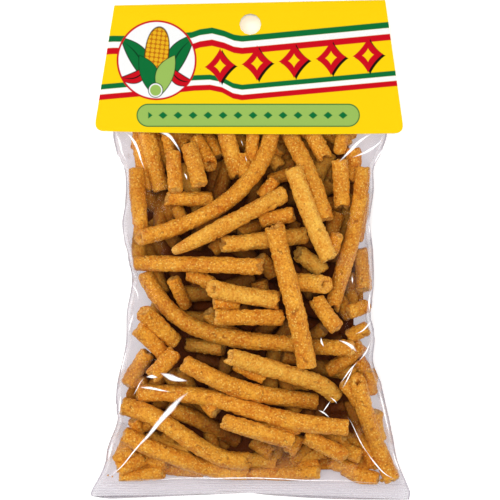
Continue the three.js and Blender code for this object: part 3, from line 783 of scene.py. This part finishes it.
def make_core(sticks, envelope, material):
    """The heap's core, a lumpy bed deep between the sticks that hides the floor in the gaps, dark with
    painted shade.
    """
    xs = np.arange(-72, 72, 1.0)
    ys = np.arange(-100, 60, 1.0)
    covered = stick_crests(sticks, xs, ys, 1) > 0
    left = np.array([xs[row.argmax()] for row in covered])
    right = np.array([xs[-1 - row[::-1].argmax()] for row in covered])
    near = range(-4, 5)
    left = np.max([np.roll(left, k) for k in near], axis=0) + CORE_INSET
    right = np.min([np.roll(right, k) for k in near], axis=0) - CORE_INSET
    bm = bmesh.new()
    made, ring, turn = blank_ball(bm, CORE_AROUND, CORE_RINGS)
    pole = (ring == 0) | (ring == CORE_RINGS)
    y = np.linspace(*CORE_ENDS, CORE_RINGS + 1)[ring]
    a = np.interp(y, ys, left)
    b = np.interp(y, ys, right)
    x = (a + b) / 2 + np.where(pole, 0, (b - a) / 2 * np.cos(turn))
    thick = np.where(pole, 0, np.sin(turn))
    flat = np.stack([x, y, 10 * thick], axis=1)
    relief = (0.9 * lumps(flat, 4.0) + 0.7 * grain(flat, 1.8)) * np.abs(thick)
    z = envelope.back(x, y) + CORE_HEIGHT + CORE_HALF * thick + relief
    co = envelope.keep_inside(np.stack([x, y, z], axis=1))
    move_points(made, co)
    bmesh.ops.recalc_face_normals(bm, faces=bm.faces)
    # Painted shade by depth under the film, and more on the core
    shade = np.clip(painted_shade_depth(envelope, np.stack([x, y, co[:, 2]], axis=1)) + CORE_EXTRA_SHADE, 0, 1)
    values = np.stack([0 * x + 0.2, 0 * x, 0 * x, shade], axis=1)
    finish_piece("heap_core", bm, "crust", values, material)


def crumb_parts(envelope):
    """Crumbs on the film's back, more of them near the foot of the bag."""
    random = np.random.default_rng(CRUMB_SEED)
    for k in range(CRUMBS):
        x = random.uniform(-66, 64)
        y = float(seal_line(x)) + 1.3 + 24 * random.uniform() ** 2
        size = random.uniform(*CRUMB_SIZES)
        middle, half = folds(y, section(y)[2])
        if abs(x - middle) > half - 3.0 or is_clear(x, y, 0):
            continue
        at = np.array([x, y, float(envelope.back(np.array([x]), np.array([y]))[0]) + 0.7 * size])
        bm = bmesh.new()
        made = bmesh.ops.create_icosphere(bm, subdivisions=2, radius=1)["verts"]
        co = np.array([v.co[:] for v in made])
        co *= (size * (1 + 0.45 * lumps(co * 3 + 17.3 * k, 2.1)))[:, None]
        move_points(made, envelope.keep_inside(co * [1.2, 1, 0.8] + at))
        yield bm, np.tile([random.uniform(0.3, 0.9), 0.3, 0.0, 0.0], (len(made), 1))


# The film


def stretch(start, lower, roof, held, rounds):
    """Pulls a sheet tight over what it covers and under a roof; the held places stay."""
    sheet = np.where(held, start, np.maximum(start, lower))
    for _ in range(rounds):
        near = sheet.copy()
        near[1:-1, 1:-1] = 0.25 * (sheet[:-2, 1:-1] + sheet[2:, 1:-1] + sheet[1:-1, :-2] + sheet[1:-1, 2:])
        sheet = np.where(held, start, np.minimum(np.maximum(near, lower), roof))
    return sheet


class Envelope:
    """The film's front and back, held at the folds, the seal and the neck and tight over the sticks."""

    def __init__(self, sticks):
        self.xs = np.arange(-73, 73, FILM_PITCH)
        self.ys = np.arange(-112, 94, FILM_PITCH)
        x, y = np.meshgrid(self.xs, self.ys)
        fold = section(y)[2]
        outside = off_middle(x, y, fold) >= 1
        seal = y < seal_line(x)
        neck = y > NECK_HELD
        held = outside | seal | neck
        start = np.where(seal, SEAL_FRONT, np.where(neck, crown(x, y), crown(x, y) - 2))
        start = np.where(outside, fold, start)
        crests = stick_crests(sticks, self.xs, self.ys, 1)
        roof = np.where(y > CARD_START - 0.5, card_inside(x, y) - 0.2, 99.0)
        self.top = stretch(start, crests + FILM_LIFT, roof, held, FILM_ROUNDS)
        start = -np.where(outside, fold, np.where(seal, SEAL_BACK, back_height(x, y)))
        crests = stick_crests(sticks, self.xs, self.ys, -1)
        self.under = -stretch(start, crests + FILM_LIFT / 2, 0.0 * x, held, FILM_ROUNDS // 4)

    def read(self, heights, x, y):
        """Reads a grid of heights between its points."""
        i = np.clip((x - self.xs[0]) / (self.xs[1] - self.xs[0]), 0, len(self.xs) - 1.001)
        j = np.clip((y - self.ys[0]) / (self.ys[1] - self.ys[0]), 0, len(self.ys) - 1.001)
        i0 = i.astype(int)
        j0 = j.astype(int)
        s = i - i0
        t = j - j0
        low = heights[j0, i0] * (1 - s) + heights[j0, i0 + 1] * s
        high = heights[j0 + 1, i0] * (1 - s) + heights[j0 + 1, i0 + 1] * s
        return low * (1 - t) + high * t

    def front(self, x, y):
        return self.read(self.top, x, y)

    def back(self, x, y):
        return self.read(self.under, x, y)

    def keep_inside(self, points):
        """Presses points that reach past the film back to it."""
        x, y, z = points.T
        middle, half = folds(y, section(y)[2])
        x = np.clip(x, middle - half + FILM_SHY, middle + half - FILM_SHY)
        y = np.maximum(y, seal_line(x) + FILM_SHY)
        under = self.back(x, y)
        z = np.clip(z, under + FILM_SHY, np.maximum(self.front(x, y), under) - FILM_SHY)
        return np.stack([x, y, z], axis=1)


def make_film(envelope, material):
    """The film, one closed skin round the bag with a flat seal and a wavy cut edge."""
    bm = bmesh.new()
    around = FILM_FRONT + FILM_BACK
    made, ring, turn = blank_ball(bm, around, FILM_RINGS)
    step = np.rint((turn + math.pi) / (2 * math.pi) * around).astype(int) % around
    seal_top = float(seal_line(-60.0))
    bottom = (MIDDLE_PIXEL[1] - LOWEST_PIXEL) * MM_PER_PIXEL
    y = np.concatenate([
        [NECK_END],
        np.linspace(NECK_END, CARD_START, NECK_RINGS)[:-1],
        np.linspace(CARD_START, seal_top, FILM_RINGS - NECK_RINGS - SEAL_RINGS + 1)[:-1],
        np.linspace(seal_top, bottom, SEAL_RINGS),
        [bottom],
    ])[ring]
    across = step / FILM_FRONT
    front_u = 0.55 * (2 * across - 1) - 0.45 * np.cos(np.pi * across)
    back_u = np.cos(np.pi * (step - FILM_FRONT) / FILM_BACK)
    on_front = step <= FILM_FRONT
    pole = (ring == 0) | (ring == FILM_RINGS)
    u = np.where(pole, 0, np.where(on_front, front_u, back_u))
    fold = section(y)[2]
    middle, half = folds(y, fold)
    x = middle + u * half
    in_seal = y < seal_top + 0.01
    # The rings near the seal follow its inner line
    share_down = np.clip((seal_top - y) / (seal_top - bottom), 0, 1)
    lowered = (seal_line(x) - seal_top) * (1 - share_down) * np.clip(1 - (y - seal_top) / 12, 0, 1)
    y = y + np.where(pole, 0, lowered)
    edge_mm = (1 - np.abs(u)) * half
    free = np.clip(edge_mm / 5, 0, 1) * np.clip((y - seal_line(x)) / 4, 0, 1)
    free = free * np.clip((CARD_START - y) / 4, 0, 1)
    # Slack film between the creases, drawn out along the bag
    p = np.stack([x, y, 0 * x], axis=1)
    slack = 0.14 * wrinkle(p * [1, 0.35, 1], 3.2) + 0.08 * wrinkle(p * [0.5, 1, 1] + 40, 2.0)
    front_z = np.where(in_seal, SEAL_FRONT, envelope.front(x, y) + np.abs(slack) * free)
    back_z = np.where(in_seal, SEAL_BACK, np.minimum(envelope.back(x, y), front_z - 0.2))
    z = np.where(on_front, front_z, back_z)
    z = np.where((step == 0) | (step == FILM_FRONT), fold, z)
    z = np.where(pole, np.where(ring == 0, section(NECK_END)[2], SEAL_MIDDLE), z)
    cut = smooth_line(BOTTOM_EDGE, 0, 1, MIDDLE_PIXEL[0] + x / MM_PER_PIXEL)
    y = y + (LOWEST_PIXEL - cut) * MM_PER_PIXEL * share_down
    move_points(made, zip(x, y, z))
    # A painted white highlight just inside each fold, a painted dark shade line right at each fold with a
    # greyer tint near the folds, in the seal and on the back, and where the seal is crimped
    # Painted shade: a thin dark line right at the fold, then a greyer band a few mm inside, in the seal and
    # on the back
    fold_shade_and_grey = np.maximum(np.exp(-((edge_mm / 0.8) ** 2)), 0.23 * np.clip(1 - (edge_mm - 3) / 5, 0, 1))
    fold_shade_and_grey = np.maximum(fold_shade_and_grey, np.maximum(0.22 * in_seal, np.where(on_front, 0, BACK_TINT)))
    # Painted highlight: a broken white line just inside the fold
    painted_fold_highlight = 0.45 * np.exp(-(((edge_mm - 1.7) / 0.5) ** 2)) * (np.abs(wrinkle(p + 9, 6.0)) + 0.3)
    values = np.stack([painted_fold_highlight, fold_shade_and_grey, in_seal.astype(float), np.ones(len(x))], axis=1)
    finish_piece("film", bm, "folds", values, material)


def crease_part(crease, envelope):
    """One sharp crease, a slender ridge on the film, and how much of its painted highlight shows at each
    point.
    """
    heights = [FIRST_HEIGHT] * len(crease.pixels)
    for _ in range(3):
        flat = np.array([place(pixel, high) for pixel, high in zip(crease.pixels, heights)])
        heights = [float(high) for high in envelope.front(flat[:, 0], flat[:, 1])]
    rings = max(8, int(line_length(flat) / 0.5))
    line, _ = curve_points(np.column_stack([flat, np.zeros(len(flat))]), rings + 1)
    line[:, 2] = envelope.front(line[:, 0], line[:, 1]) + CREASE_LIFT
    share = np.linspace(0, 1, rings + 1)
    rise = np.where(share < crease.peak, share / crease.peak, (1 - share) / (1 - crease.peak))
    wide = rise**0.7 * crease.width / 2
    along = np.gradient(line, axis=0)
    aside = np.stack([-along[:, 1], along[:, 0], 0 * share], axis=1)
    aside /= np.linalg.norm(aside, axis=1)[:, None]
    bm = bmesh.new()
    made, ring, turn = blank_ball(bm, CREASE_AROUND, rings)
    co = line[ring] + aside[ring] * (wide[ring] * np.cos(turn))[:, None]
    co[:, 2] += np.minimum(wide * 0.6, 0.25)[ring] * np.sin(turn)
    move_points(made, co)
    bmesh.ops.recalc_face_normals(bm, faces=bm.faces)
    solid = (1 - np.abs(np.cos(turn))) * np.minimum(1, 3 * np.minimum(share, 1 - share))[ring]
    return bm, np.repeat(solid, 4).reshape(-1, 4)


# Shader maths


def operator(operation, swapped=False):
    """A method that adds a Math node for a value and another value or number."""
    def apply(self, other):
        inputs = {0: other, 1: self} if swapped else {0: self, 1: other}
        return self.finish.node("ShaderNodeMath", inputs, {"operation": operation})

    return apply


class Value:
    """A number or colour that varies over a surface."""

    def __init__(self, finish, socket):
        self.finish = finish
        self.socket = socket

    __add__ = __radd__ = operator("ADD")
    __mul__ = __rmul__ = operator("MULTIPLY")
    __sub__ = operator("SUBTRACT")
    __rsub__ = operator("SUBTRACT", True)
    __truediv__ = operator("DIVIDE")
    __rtruediv__ = operator("DIVIDE", True)
    __pow__ = operator("POWER")
    most = operator("MAXIMUM")
    to_and_fro = operator("PINGPONG")

    def __abs__(self):
        return self.finish.node("ShaderNodeMath", {0: self}, {"operation": "ABSOLUTE"})

    def sine(self):
        return self.finish.node("ShaderNodeMath", {0: self}, {"operation": "SINE"})

    def limited(self):
        """The value kept between 0 and 1."""
        settings = {"operation": "ADD", "use_clamp": True}
        return self.finish.node("ShaderNodeMath", {0: self, 1: 0.0}, settings)

    def between(self, low, high):
        """0 below low, 1 above high, and smooth in between."""
        settings = {"interpolation_type": "SMOOTHSTEP"}
        return self.finish.node("ShaderNodeMapRange", {0: self, 1: low, 2: high}, settings)

    def repeat(self, period):
        """Distance from the middle of the cell of a row of cells."""
        return self.to_and_fro(period / 2)


class Finish:
    """One material and its nodes."""

    def __init__(self, name):
        self.material = bpy.data.materials.new(name)
        self.material.use_nodes = True
        self.tree = self.material.node_tree
        self.tree.nodes.clear()
        self.place = self.node("ShaderNodeTexCoord", output="Object")

    def node(self, kind, inputs=None, settings=None, output=0):
        made = self.tree.nodes.new(kind)
        for key, value in (settings or {}).items():
            setattr(made, key, value)
        for key, value in (inputs or {}).items():
            if isinstance(value, Value):
                self.tree.links.new(value.socket, made.inputs[key])
            else:
                made.inputs[key].default_value = value
        return Value(self, made.outputs[output])

    def parts(self, vector):
        return [self.node("ShaderNodeSeparateXYZ", {0: vector}, None, k) for k in range(3)]

    def noise(self, size, detail, roughness):
        """Noise whose lumps are about `size` metres wide, from 0 to 1."""
        inputs = {"Vector": self.place, "Scale": 1 / size, "Detail": detail, "Roughness": roughness}
        return self.node("ShaderNodeTexNoise", inputs)

    def blend(self, factor, first, second):
        """A mix of two colours."""
        return self.node("ShaderNodeMix", {0: factor, 6: first, 7: second}, {"data_type": "RGBA"}, 2)

    def blend_shaders(self, factor, first, second):
        return self.node("ShaderNodeMixShader", {0: factor, 1: first, 2: second})

    def attribute(self, name):
        """The four values that the mesh gives at each point."""
        three = self.node("ShaderNodeAttribute", None, {"attribute_name": name}, "Color")
        fourth = self.node("ShaderNodeAttribute", None, {"attribute_name": name}, "Alpha")
        return [self.node("ShaderNodeSeparateColor", {0: three}, None, k) for k in range(3)] + [fourth]

    def bump(self, height, distance, strength):
        return self.node("ShaderNodeBump", {"Height": height, "Distance": distance, "Strength": strength})

    def skin(self, inputs):
        return self.node("ShaderNodeBsdfPrincipled", inputs)

    def clear(self, tint):
        return self.node("ShaderNodeBsdfTransparent", {"Color": tint})

    def done(self, shader):
        out = self.tree.nodes.new("ShaderNodeOutputMaterial")
        self.tree.links.new(shader.socket, out.inputs["Surface"])
        return self.material


def colour(red, green, blue, share=1.0):
    """A colour given as a screen shows it, 0 to 255, as light, or as a share of that light."""
    parts = np.array([red, green, blue]) / 255
    light = np.where(parts <= 0.04045, parts / 12.92, ((parts + 0.055) / 1.055) ** 2.4)
    return (*(share * light).tolist(), 1.0)


# Colours of the crust, from its darker to its lighter lumps, with its specks, a painted glint and a painted
# deep shade
GOLD = (colour(181, 85, 4), colour(243, 165, 37))
PALE = (colour(219, 134, 26), colour(250, 201, 84))
END_FACE = (colour(206, 126, 32), colour(252, 208, 112))
# Dark specks and pits, and painted shade in the holes of hollow ends
SPOT_AND_HOLE_SHADE = colour(120, 48, 0)
# A painted glint, the golden highlight on the crust's grains
PAINTED_GLINT = colour(255, 214, 107)
# Painted shade: the dark brown the crust turns to deep under the film
PAINTED_DEEP_SHADE = colour(76, 26, 0)

# Its lumps, in metres
BROAD = 0.008
BLOTCH = 0.0024
SPECKLE = 0.0009
FINE = 0.0005
CELL = 0.0013


def crust_finish():
    """Rough golden fried corn, paler at the broken ends and darker in its pits, with painted glints on its
    grains and painted shade in hollow ends and deep under the film.
    """
    finish = Finish("fried_corn")
    pale, inside, pit, shade = finish.attribute("crust")
    broad = finish.noise(BROAD, 3, 0.6)
    blotch = finish.noise(BLOTCH, 2, 0.5)
    speckle = finish.noise(SPECKLE, 2, 0.65)
    fine = finish.noise(FINE, 2, 0.6)
    cells = finish.node("ShaderNodeTexVoronoi", {"Vector": finish.place, "Scale": 1 / CELL})
    tone = ((speckle - 0.5) * 2.0 + (blotch - 0.5) * 0.7 + (broad - 0.5) * 1.2 + 0.5).limited()
    crust = finish.blend(pale.limited(), finish.blend(tone, *GOLD), finish.blend(tone, *PALE))
    crust = finish.blend(inside.between(0.1, 0.9) * 0.8, crust, finish.blend(tone, *END_FACE))
    spot = speckle.between(0.34, 0.26) * 0.35 + blotch.between(0.28, 0.2) * 0.2
    # Darker specks and pits; in a hollow end's hole this is painted shade
    crust = finish.blend((spot + pit.between(0.35, 1.0) * 0.6).limited(), crust, SPOT_AND_HOLE_SHADE)
    # Painted glints: golden specks standing in for highlights on the grains
    painted_glint = cells.between(0.38, 0.2) * fine.between(0.4, 0.54)
    crust = finish.blend(painted_glint * 0.85, crust, PAINTED_GLINT)
    # Painted shade, darker with depth under the film
    crust = finish.blend(shade * 0.98, crust, PAINTED_DEEP_SHADE)
    height = speckle * 0.5 + fine * 0.3 - cells.between(0.1, 0.45) * 0.15
    normal = finish.bump(height, 0.0012, 0.85)
    return finish.done(finish.skin({
        "Base Color": crust,
        "Roughness": 0.46,
        "Specular IOR Level": 0.45,
        "Normal": normal,
    }))


CRIMP_PITCH = 1.12  # mm between the seal's lines
FILM_TINT = (0.975, 0.965, 0.972, 1)
# The grey of the painted shade line at the folds, also the back's greyer tint
EDGE_GREY_AND_SHADE = (0.60, 0.57, 0.61, 1)
CREASE_TINT = (0.95, 0.94, 0.95, 1)


def film_finish():
    """Clear thin film: tinted a little where light passes, glossy, with a painted dark shade line at its
    folds, a painted white highlight just inside them, and white frosted crimp lines in the seal.
    """
    finish = Finish("clear_film")
    painted_fold_highlight, fold_shade_and_grey, seal, _ = finish.attribute("folds")
    along = finish.parts(finish.place)[1] / MM
    ripple = finish.noise(0.004, 3, 0.55)
    wave = finish.noise(0.012, 1, 0.5)
    crimp = ((along + (wave - 0.5) * 0.9) * (2 * math.pi / CRIMP_PITCH)).sine() * 0.5 + 0.5
    normal = finish.bump(ripple * 0.35 + crimp * seal * 0.35, 0.001, 0.6)
    # Light passing near the folds is darkened grey, a painted shade line at each fold
    through = finish.blend_shaders(fold_shade_and_grey.limited(), finish.clear(FILM_TINT), finish.clear(EDGE_GREY_AND_SHADE))
    gloss = finish.node(
        "ShaderNodeBsdfGlossy", {"Color": (1, 1, 1, 1), "Roughness": 0.09, "Normal": normal}
    )
    glance = finish.node("ShaderNodeFresnel", {"IOR": 1.45, "Normal": normal}) * 0.25
    # White film: the painted highlight inside the folds, and the seal's frosted crimp lines
    frost_and_painted_highlight = finish.skin({"Base Color": (0.95, 0.94, 0.96, 1), "Roughness": 0.2, "Normal": normal})
    frost_and_highlight_share = (painted_fold_highlight + crimp.between(0.45, 0.75) * seal * 0.28).limited()
    return finish.done(finish.blend_shaders(frost_and_highlight_share, finish.blend_shaders(glance, through, gloss), frost_and_painted_highlight))


def crease_highlight_finish():
    """The film where it is creased sharply, painted white and glowing a little as a highlight."""
    finish = Finish("creased_film_highlight")
    streak = finish.noise(0.0015, 2, 0.5)
    # Painted highlight: white, and glowing though it is no lamp
    painted_crease_highlight = finish.skin({
        "Base Color": (0.97, 0.97, 0.98, 1),
        "Roughness": 0.25,
        "Emission Color": (1, 1, 1, 1),
        "Emission Strength": 0.45,
    })
    # The crease attribute says how much painted highlight shows
    shown = finish.attribute("crease")[0] * (streak.between(0.25, 0.5) * 0.6 + 0.4)
    return finish.done(finish.blend_shaders(shown, finish.clear(CREASE_TINT), painted_crease_highlight))


# The card's print, with places in the photo's pixels

INK = 0.74  # printed colours are darker than the screen's because the lamps are bright
YELLOW = colour(255, 213, 0, 0.85)
GREEN = colour(0, 118, 56, INK)
RED = colour(218, 0, 26, INK)
WHITE = (0.82, 0.82, 0.81, 1)
BLACK = colour(28, 10, 8, INK)
LEAF = colour(165, 203, 98, INK)
CORN = colour(250, 190, 30, INK)
SEED = colour(205, 120, 8, INK)
DARK_GREEN = colour(0, 62, 30, INK)
BARE_PAPER = (colour(236, 233, 224), colour(250, 248, 242))
PAPER_SHADE = colour(40, 30, 20)

# The upper edge of each ribbon as (across, down), and the widths of its three bands
UPPER_RIBBON = [
    (95, 37), (113, 35.7), (150, 36), (192, 32), (200, 29.2), (212, 27.5), (224, 30.5), (234, 34.6),
    (242, 35.7), (262, 33.9), (383, 22.4), (410, 20),
]
UPPER_BANDS = (6.1, 6.0, 6.3)
LOWER_RIBBON = [
    (90, 85.5), (105, 84), (150, 80), (194, 75.2), (210, 74.6), (222, 77), (233, 83), (242, 84.7),
    (262, 82.8), (386, 71.4), (410, 69.3),
]
LOWER_BANDS = (5.2, 5.0, 5.4)

DISC = (156.6, 60.2, 40.0)  # middle and radius
DISC_RING = 1.9
PILL = (248.2, 115.3, 111.7, 11.6)  # middle, half width and radius of its ends
PILL_RIM = 1.1
BEADS = (148, 15.0, 100)  # first bead, pitch, and how far they reach to either side of the middle
STARS = (220, 18.5, 82.0)  # middle of a star, half the pitch, and how far down the row starts
STAR_FALL = 0.073  # the row rises this much for each pixel to the right
STAR_ROW = (293, 93)  # its middle and half length

# Leaves of the picture: middle, lean, half length, half width and bend
HUSKS = [(-17, -2, -0.55, 27, 9, 5), (20, -4, 0.5, 27, 9, -5)]
PEPPERS = [(-20, 17, 1.15, 17, 5.2, 6), (22, 19, -1.0, 17, 5.2, -6)]
COVERS = [(-7, 14, -0.35, 21, 8.5, 3), (8, 14, 0.35, 21, 8.5, -3)]
EAR_LEAN = 0.12
EAR = (11.5, 27.5)  # half width and half length
SEEDS = (4.6, 4.4)  # their width and length
LIME = (-1, 30)
LIME_RINGS = ((7.6, DARK_GREEN), (6.8, WHITE), (5.6, LEAF))


def soft(distance, width=0.8):
    """1 where a distance in pixels is under 0."""
    return (0.5 - distance / width).limited()


def leaning(x, y, lean):
    """A place on axes that lean."""
    return x * math.cos(lean) + y * math.sin(lean), y * math.cos(lean) - x * math.sin(lean)


def lens(x, y, shape):
    """Distance-like number, under 0 inside a pointed leaf."""
    across, down, lean, length, width, bend = shape
    p, q = leaning(x - across, y - down, lean)
    share = (q / length) ** 2
    return (abs(p + share * bend) - (1 - share) * width).most(abs(q) - length)


def down_line(finish, across, points):
    """How far down a line lies that passes through points given across the card."""
    left = points[0][0]
    right = points[-1][0]
    low = min(down for _, down in points)
    high = max(down for _, down in points)
    line = finish.node("ShaderNodeValToRGB", {0: (across - left) / (right - left)})
    stops = line.socket.node.color_ramp.elements
    while len(stops) < len(points):
        stops.new(0.5)
    for stop, (at, down) in zip(stops, points):
        grey = (down - low) / (high - low)
        stop.position = (at - left) / (right - left)
        stop.color = (grey, grey, grey, 1)
    return line * (high - low) + low


class Picture:
    """A print that is built up in flat inks, one over the other."""

    def __init__(self, finish, ground):
        self.finish = finish
        self.shown = ground

    def paint(self, mask, ink):
        self.shown = self.finish.blend(mask, self.shown, ink)

    def leaf(self, x, y, shape, ink, outline, outline_ink):
        far = lens(x, y, shape)
        self.paint(soft(far - outline), outline_ink)
        self.paint(soft(far), ink)


def draw_motif(picture, x, y):
    """Corn, husk leaves, peppers and lime, each with a dark outline."""
    for shapes, ink, vein_ink in ((HUSKS, GREEN, DARK_GREEN), (PEPPERS, RED, BLACK)):
        for shape in shapes:
            picture.leaf(x, y, shape, ink, 0.9, BLACK)
            vein = (*shape[:3], shape[3] * 0.8, 0.7, shape[5])
            picture.paint(soft(lens(x, y, vein)), vein_ink)
    # The ear, with rows of seeds
    p, q = leaning(x, y + 5, EAR_LEAN)
    ear = (((p / EAR[0]) ** 2 + (abs(q) / EAR[1]) ** 2.6) - 1) * 6
    wide, long = SEEDS
    seeds = ((p.repeat(wide) / (wide / 2)) ** 2 + (q.repeat(long) / (long / 2)) ** 2) ** 0.5
    picture.paint(soft(ear - 0.9), BLACK)
    picture.paint(soft(ear, 1.2), picture.finish.blend(seeds.between(0.7, 1.05), CORN, SEED))
    for shape, ink in zip(COVERS, (GREEN, LEAF)):
        picture.leaf(x, y, shape, ink, 0.8, DARK_GREEN)
    far = ((x - LIME[0]) ** 2 + (y - LIME[1]) ** 2) ** 0.5
    for reach, ink in LIME_RINGS:
        picture.paint(soft(far - reach), ink)
    return picture.shown


def card_finish():
    """Yellow printed card with ribbons, a disc with an ear of corn, a row of stars and a long pill."""
    finish = Finish("printed_card")
    card = Picture(finish, YELLOW)
    x, y, z = (part / MM for part in finish.parts(finish.place))
    scale = VIEW_HEIGHT / MM_PER_PIXEL / (VIEW_HEIGHT - z)
    across = (x + CENTRE[0]) * scale + MIDDLE_PIXEL[0]
    down = MIDDLE_PIXEL[1] - (y + CENTRE[1]) * scale
    for points, bands in ((UPPER_RIBBON, UPPER_BANDS), (LOWER_RIBBON, LOWER_BANDS)):
        below = down - down_line(finish, across, points)
        edge = 0
        for band, ink in zip(bands, (GREEN, WHITE, RED)):
            card.paint(soft(abs(below - (edge + band / 2)) - band / 2), ink)
            edge += band
    # A row of red four-pointed stars with black shadows between the ribbons
    for shift, ink, size in ((2.2, BLACK, 15.5), (0.0, RED, 15.5), (0.0, YELLOW, 6.0)):
        along = (across - (STARS[0] + shift)).to_and_fro(STARS[1])
        off = down + across * STAR_FALL - (STARS[2] + shift * 0.8)
        star = (along + 0.001) ** 0.8 + (abs(off) * 0.86) ** 0.8 - size**0.8
        card.paint(soft(star, 0.5) * soft(abs(across - STAR_ROW[0]) - STAR_ROW[1]), ink)
    # The white disc with its thin red ring and its picture
    aside = across - DISC[0]
    below = down - DISC[1]
    far = (aside * aside + below * below) ** 0.5
    card.paint(soft(far - DISC[2]), RED)
    motif = draw_motif(Picture(finish, WHITE), aside, below)
    card.paint(soft(far - DISC[2] + DISC_RING), motif)
    # The long pill with its beads
    past = (abs(across - PILL[0]) - (PILL[2] - PILL[3])).most(0)
    below = down - PILL[1]
    pill = (past * past + below * below) ** 0.5 - PILL[3]
    card.paint(soft(pill), GREEN)
    card.paint(soft(pill + PILL_RIM), LEAF)
    beads = (across - BEADS[0]).repeat(BEADS[1]) * 0.8 + abs(below) - 3.6
    card.paint(soft(beads) * soft(abs(across - PILL[0]) - BEADS[2]), GREEN)
    # The back is plain yellow, and the card shows its own white inside and at its cut edges
    facing = finish.parts(finish.node("ShaderNodeNewGeometry", output="True Normal"))[2]
    on_front = z.between(9.2, 9.6) * facing.between(0.35, 0.5)
    on_back = facing.between(-0.35, -0.5) * z.between(10.0, 9.0)
    paper = finish.noise(0.0007, 3, 0.6)
    shown = finish.blend(paper, *BARE_PAPER)
    shown = finish.blend(on_back.limited(), shown, YELLOW)
    shown = finish.blend(on_front.limited(), shown, card.shown)
    shown = finish.blend(paper * 0.05, shown, PAPER_SHADE)
    return finish.done(finish.skin({
        "Base Color": shown,
        "Roughness": 0.5,
        "Specular IOR Level": 0.25,
        "Coat Weight": 0.08,
        "Coat Roughness": 0.25,
        "Normal": finish.bump(paper * 0.1 + finish.noise(0.02, 2, 0.5), 0.0004, 0.35),
    }))


# The set

FLOOR_REACH = 3.0  # m
SOFTBOXES = [  # name, place and size in metres, power, and whether glossy things show it
    ("left_softbox", (-0.80, 0.05, 0.65), (0.6, 1.0), 5.2, False),
    ("right_softbox", (0.80, -0.05, 0.65), (0.6, 1.0), 4.3, False),
    ("top_softbox", (-0.10, 0.10, 1.40), (0.9, 0.9), 13.0, False),
    ("left_strip", (-0.80, 0.25, 0.35), (0.06, 0.7), 0.5, True),
    ("right_strip", (0.80, 0.20, 0.35), (0.06, 0.7), 0.5, True),
]
AIM = Vector((0, 0, 0.01))
WORLD_LIGHT = 0.16
SENSOR = 36.0


def make_floor():
    """A pale floor that glows a little, so that the shadows stay faint."""
    bm = bmesh.new()
    bmesh.ops.create_grid(bm, x_segments=1, y_segments=1, size=FLOOR_REACH)
    finish = Finish("pale_floor")
    skin = finish.skin({
        "Base Color": (0.93, 0.93, 0.93, 1),
        "Roughness": 0.8,
        "Specular IOR Level": 0.1,
        "Emission Color": (1, 1, 1, 1),
        "Emission Strength": 0.3,
    })
    floor = add_mesh("floor", bm, finish.done(skin))


def light_set():
    """Soft lights aimed at the bag, and a dim white world."""
    for name, at, size, power, in_gloss in SOFTBOXES:
        light = bpy.data.lights.new(name, "AREA")
        light.shape = "RECTANGLE"
        light.size, light.size_y = size
        light.energy = power
        box = add_object(name, light)
        box.location = at
        box.rotation_euler = (AIM - Vector(at)).to_track_quat("-Z", "Y").to_euler()
        box.visible_glossy = in_gloss
    world = bpy.data.worlds.new("studio")
    world.use_nodes = True
    back = world.node_tree.nodes["Background"]
    back.inputs["Color"].default_value = (1, 1, 1, 1)
    back.inputs["Strength"].default_value = WORLD_LIGHT
    bpy.context.scene.world = world


def place_camera():
    """A camera straight above the photo's middle."""
    camera = bpy.data.cameras.new("camera")
    camera.sensor_width = SENSOR
    camera.lens = SENSOR * VIEW_HEIGHT / (PHOTO_SIZE * MM_PER_PIXEL)
    camera.clip_start = 0.05
    camera.clip_end = 20
    eye = add_object("camera", camera)
    across, up = place((PHOTO_SIZE / 2, PHOTO_SIZE / 2), 0)
    eye.location = ((across - CENTRE[0]) * MM, (up - CENTRE[1]) * MM, VIEW_HEIGHT * MM)
    bpy.context.scene.camera = eye


# Putting it together

place_camera()
make_floor()
light_set()
bpy.context.scene.view_settings.view_transform = "Standard"

crust = crust_finish()
sticks = lay_shown_sticks()
for recipe in FILLINGS:
    sticks += lay_filling(sticks, *recipe)
envelope = Envelope(sticks)

first = 0
for name, count, fineness in [
    ("sticks_on_top", len(TOP_STICKS), FINE_STICK),
    ("sticks_crossing", len(CROSSING_STICKS), FINE_STICK),
    ("sticks_in_gaps", len(GAP_STICKS), GAP_STICK),
    ("sticks_inside", len(sticks) - len(STICKS), HIDDEN_STICK),
]:
    numbers = range(first, first + count)
    bm, values = join_parts(stick_part(sticks[number], number, fineness, envelope) for number in numbers)
    finish_piece(name, bm, "crust", values, crust)
    first += count

make_core(sticks, envelope, crust)
bm, values = join_parts(crumb_parts(envelope))
finish_piece("crumbs", bm, "crust", values, crust)

make_film(envelope, film_finish())
# The creases' ridges, which carry the painted highlights
bm, values = join_parts(crease_part(crease, envelope) for crease in CREASE_HIGHLIGHTS)
finish_piece("film_crease_highlights", bm, "crease", values, crease_highlight_finish())

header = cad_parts["header_card"]
header.data.materials.clear()
header.data.materials.append(card_finish())
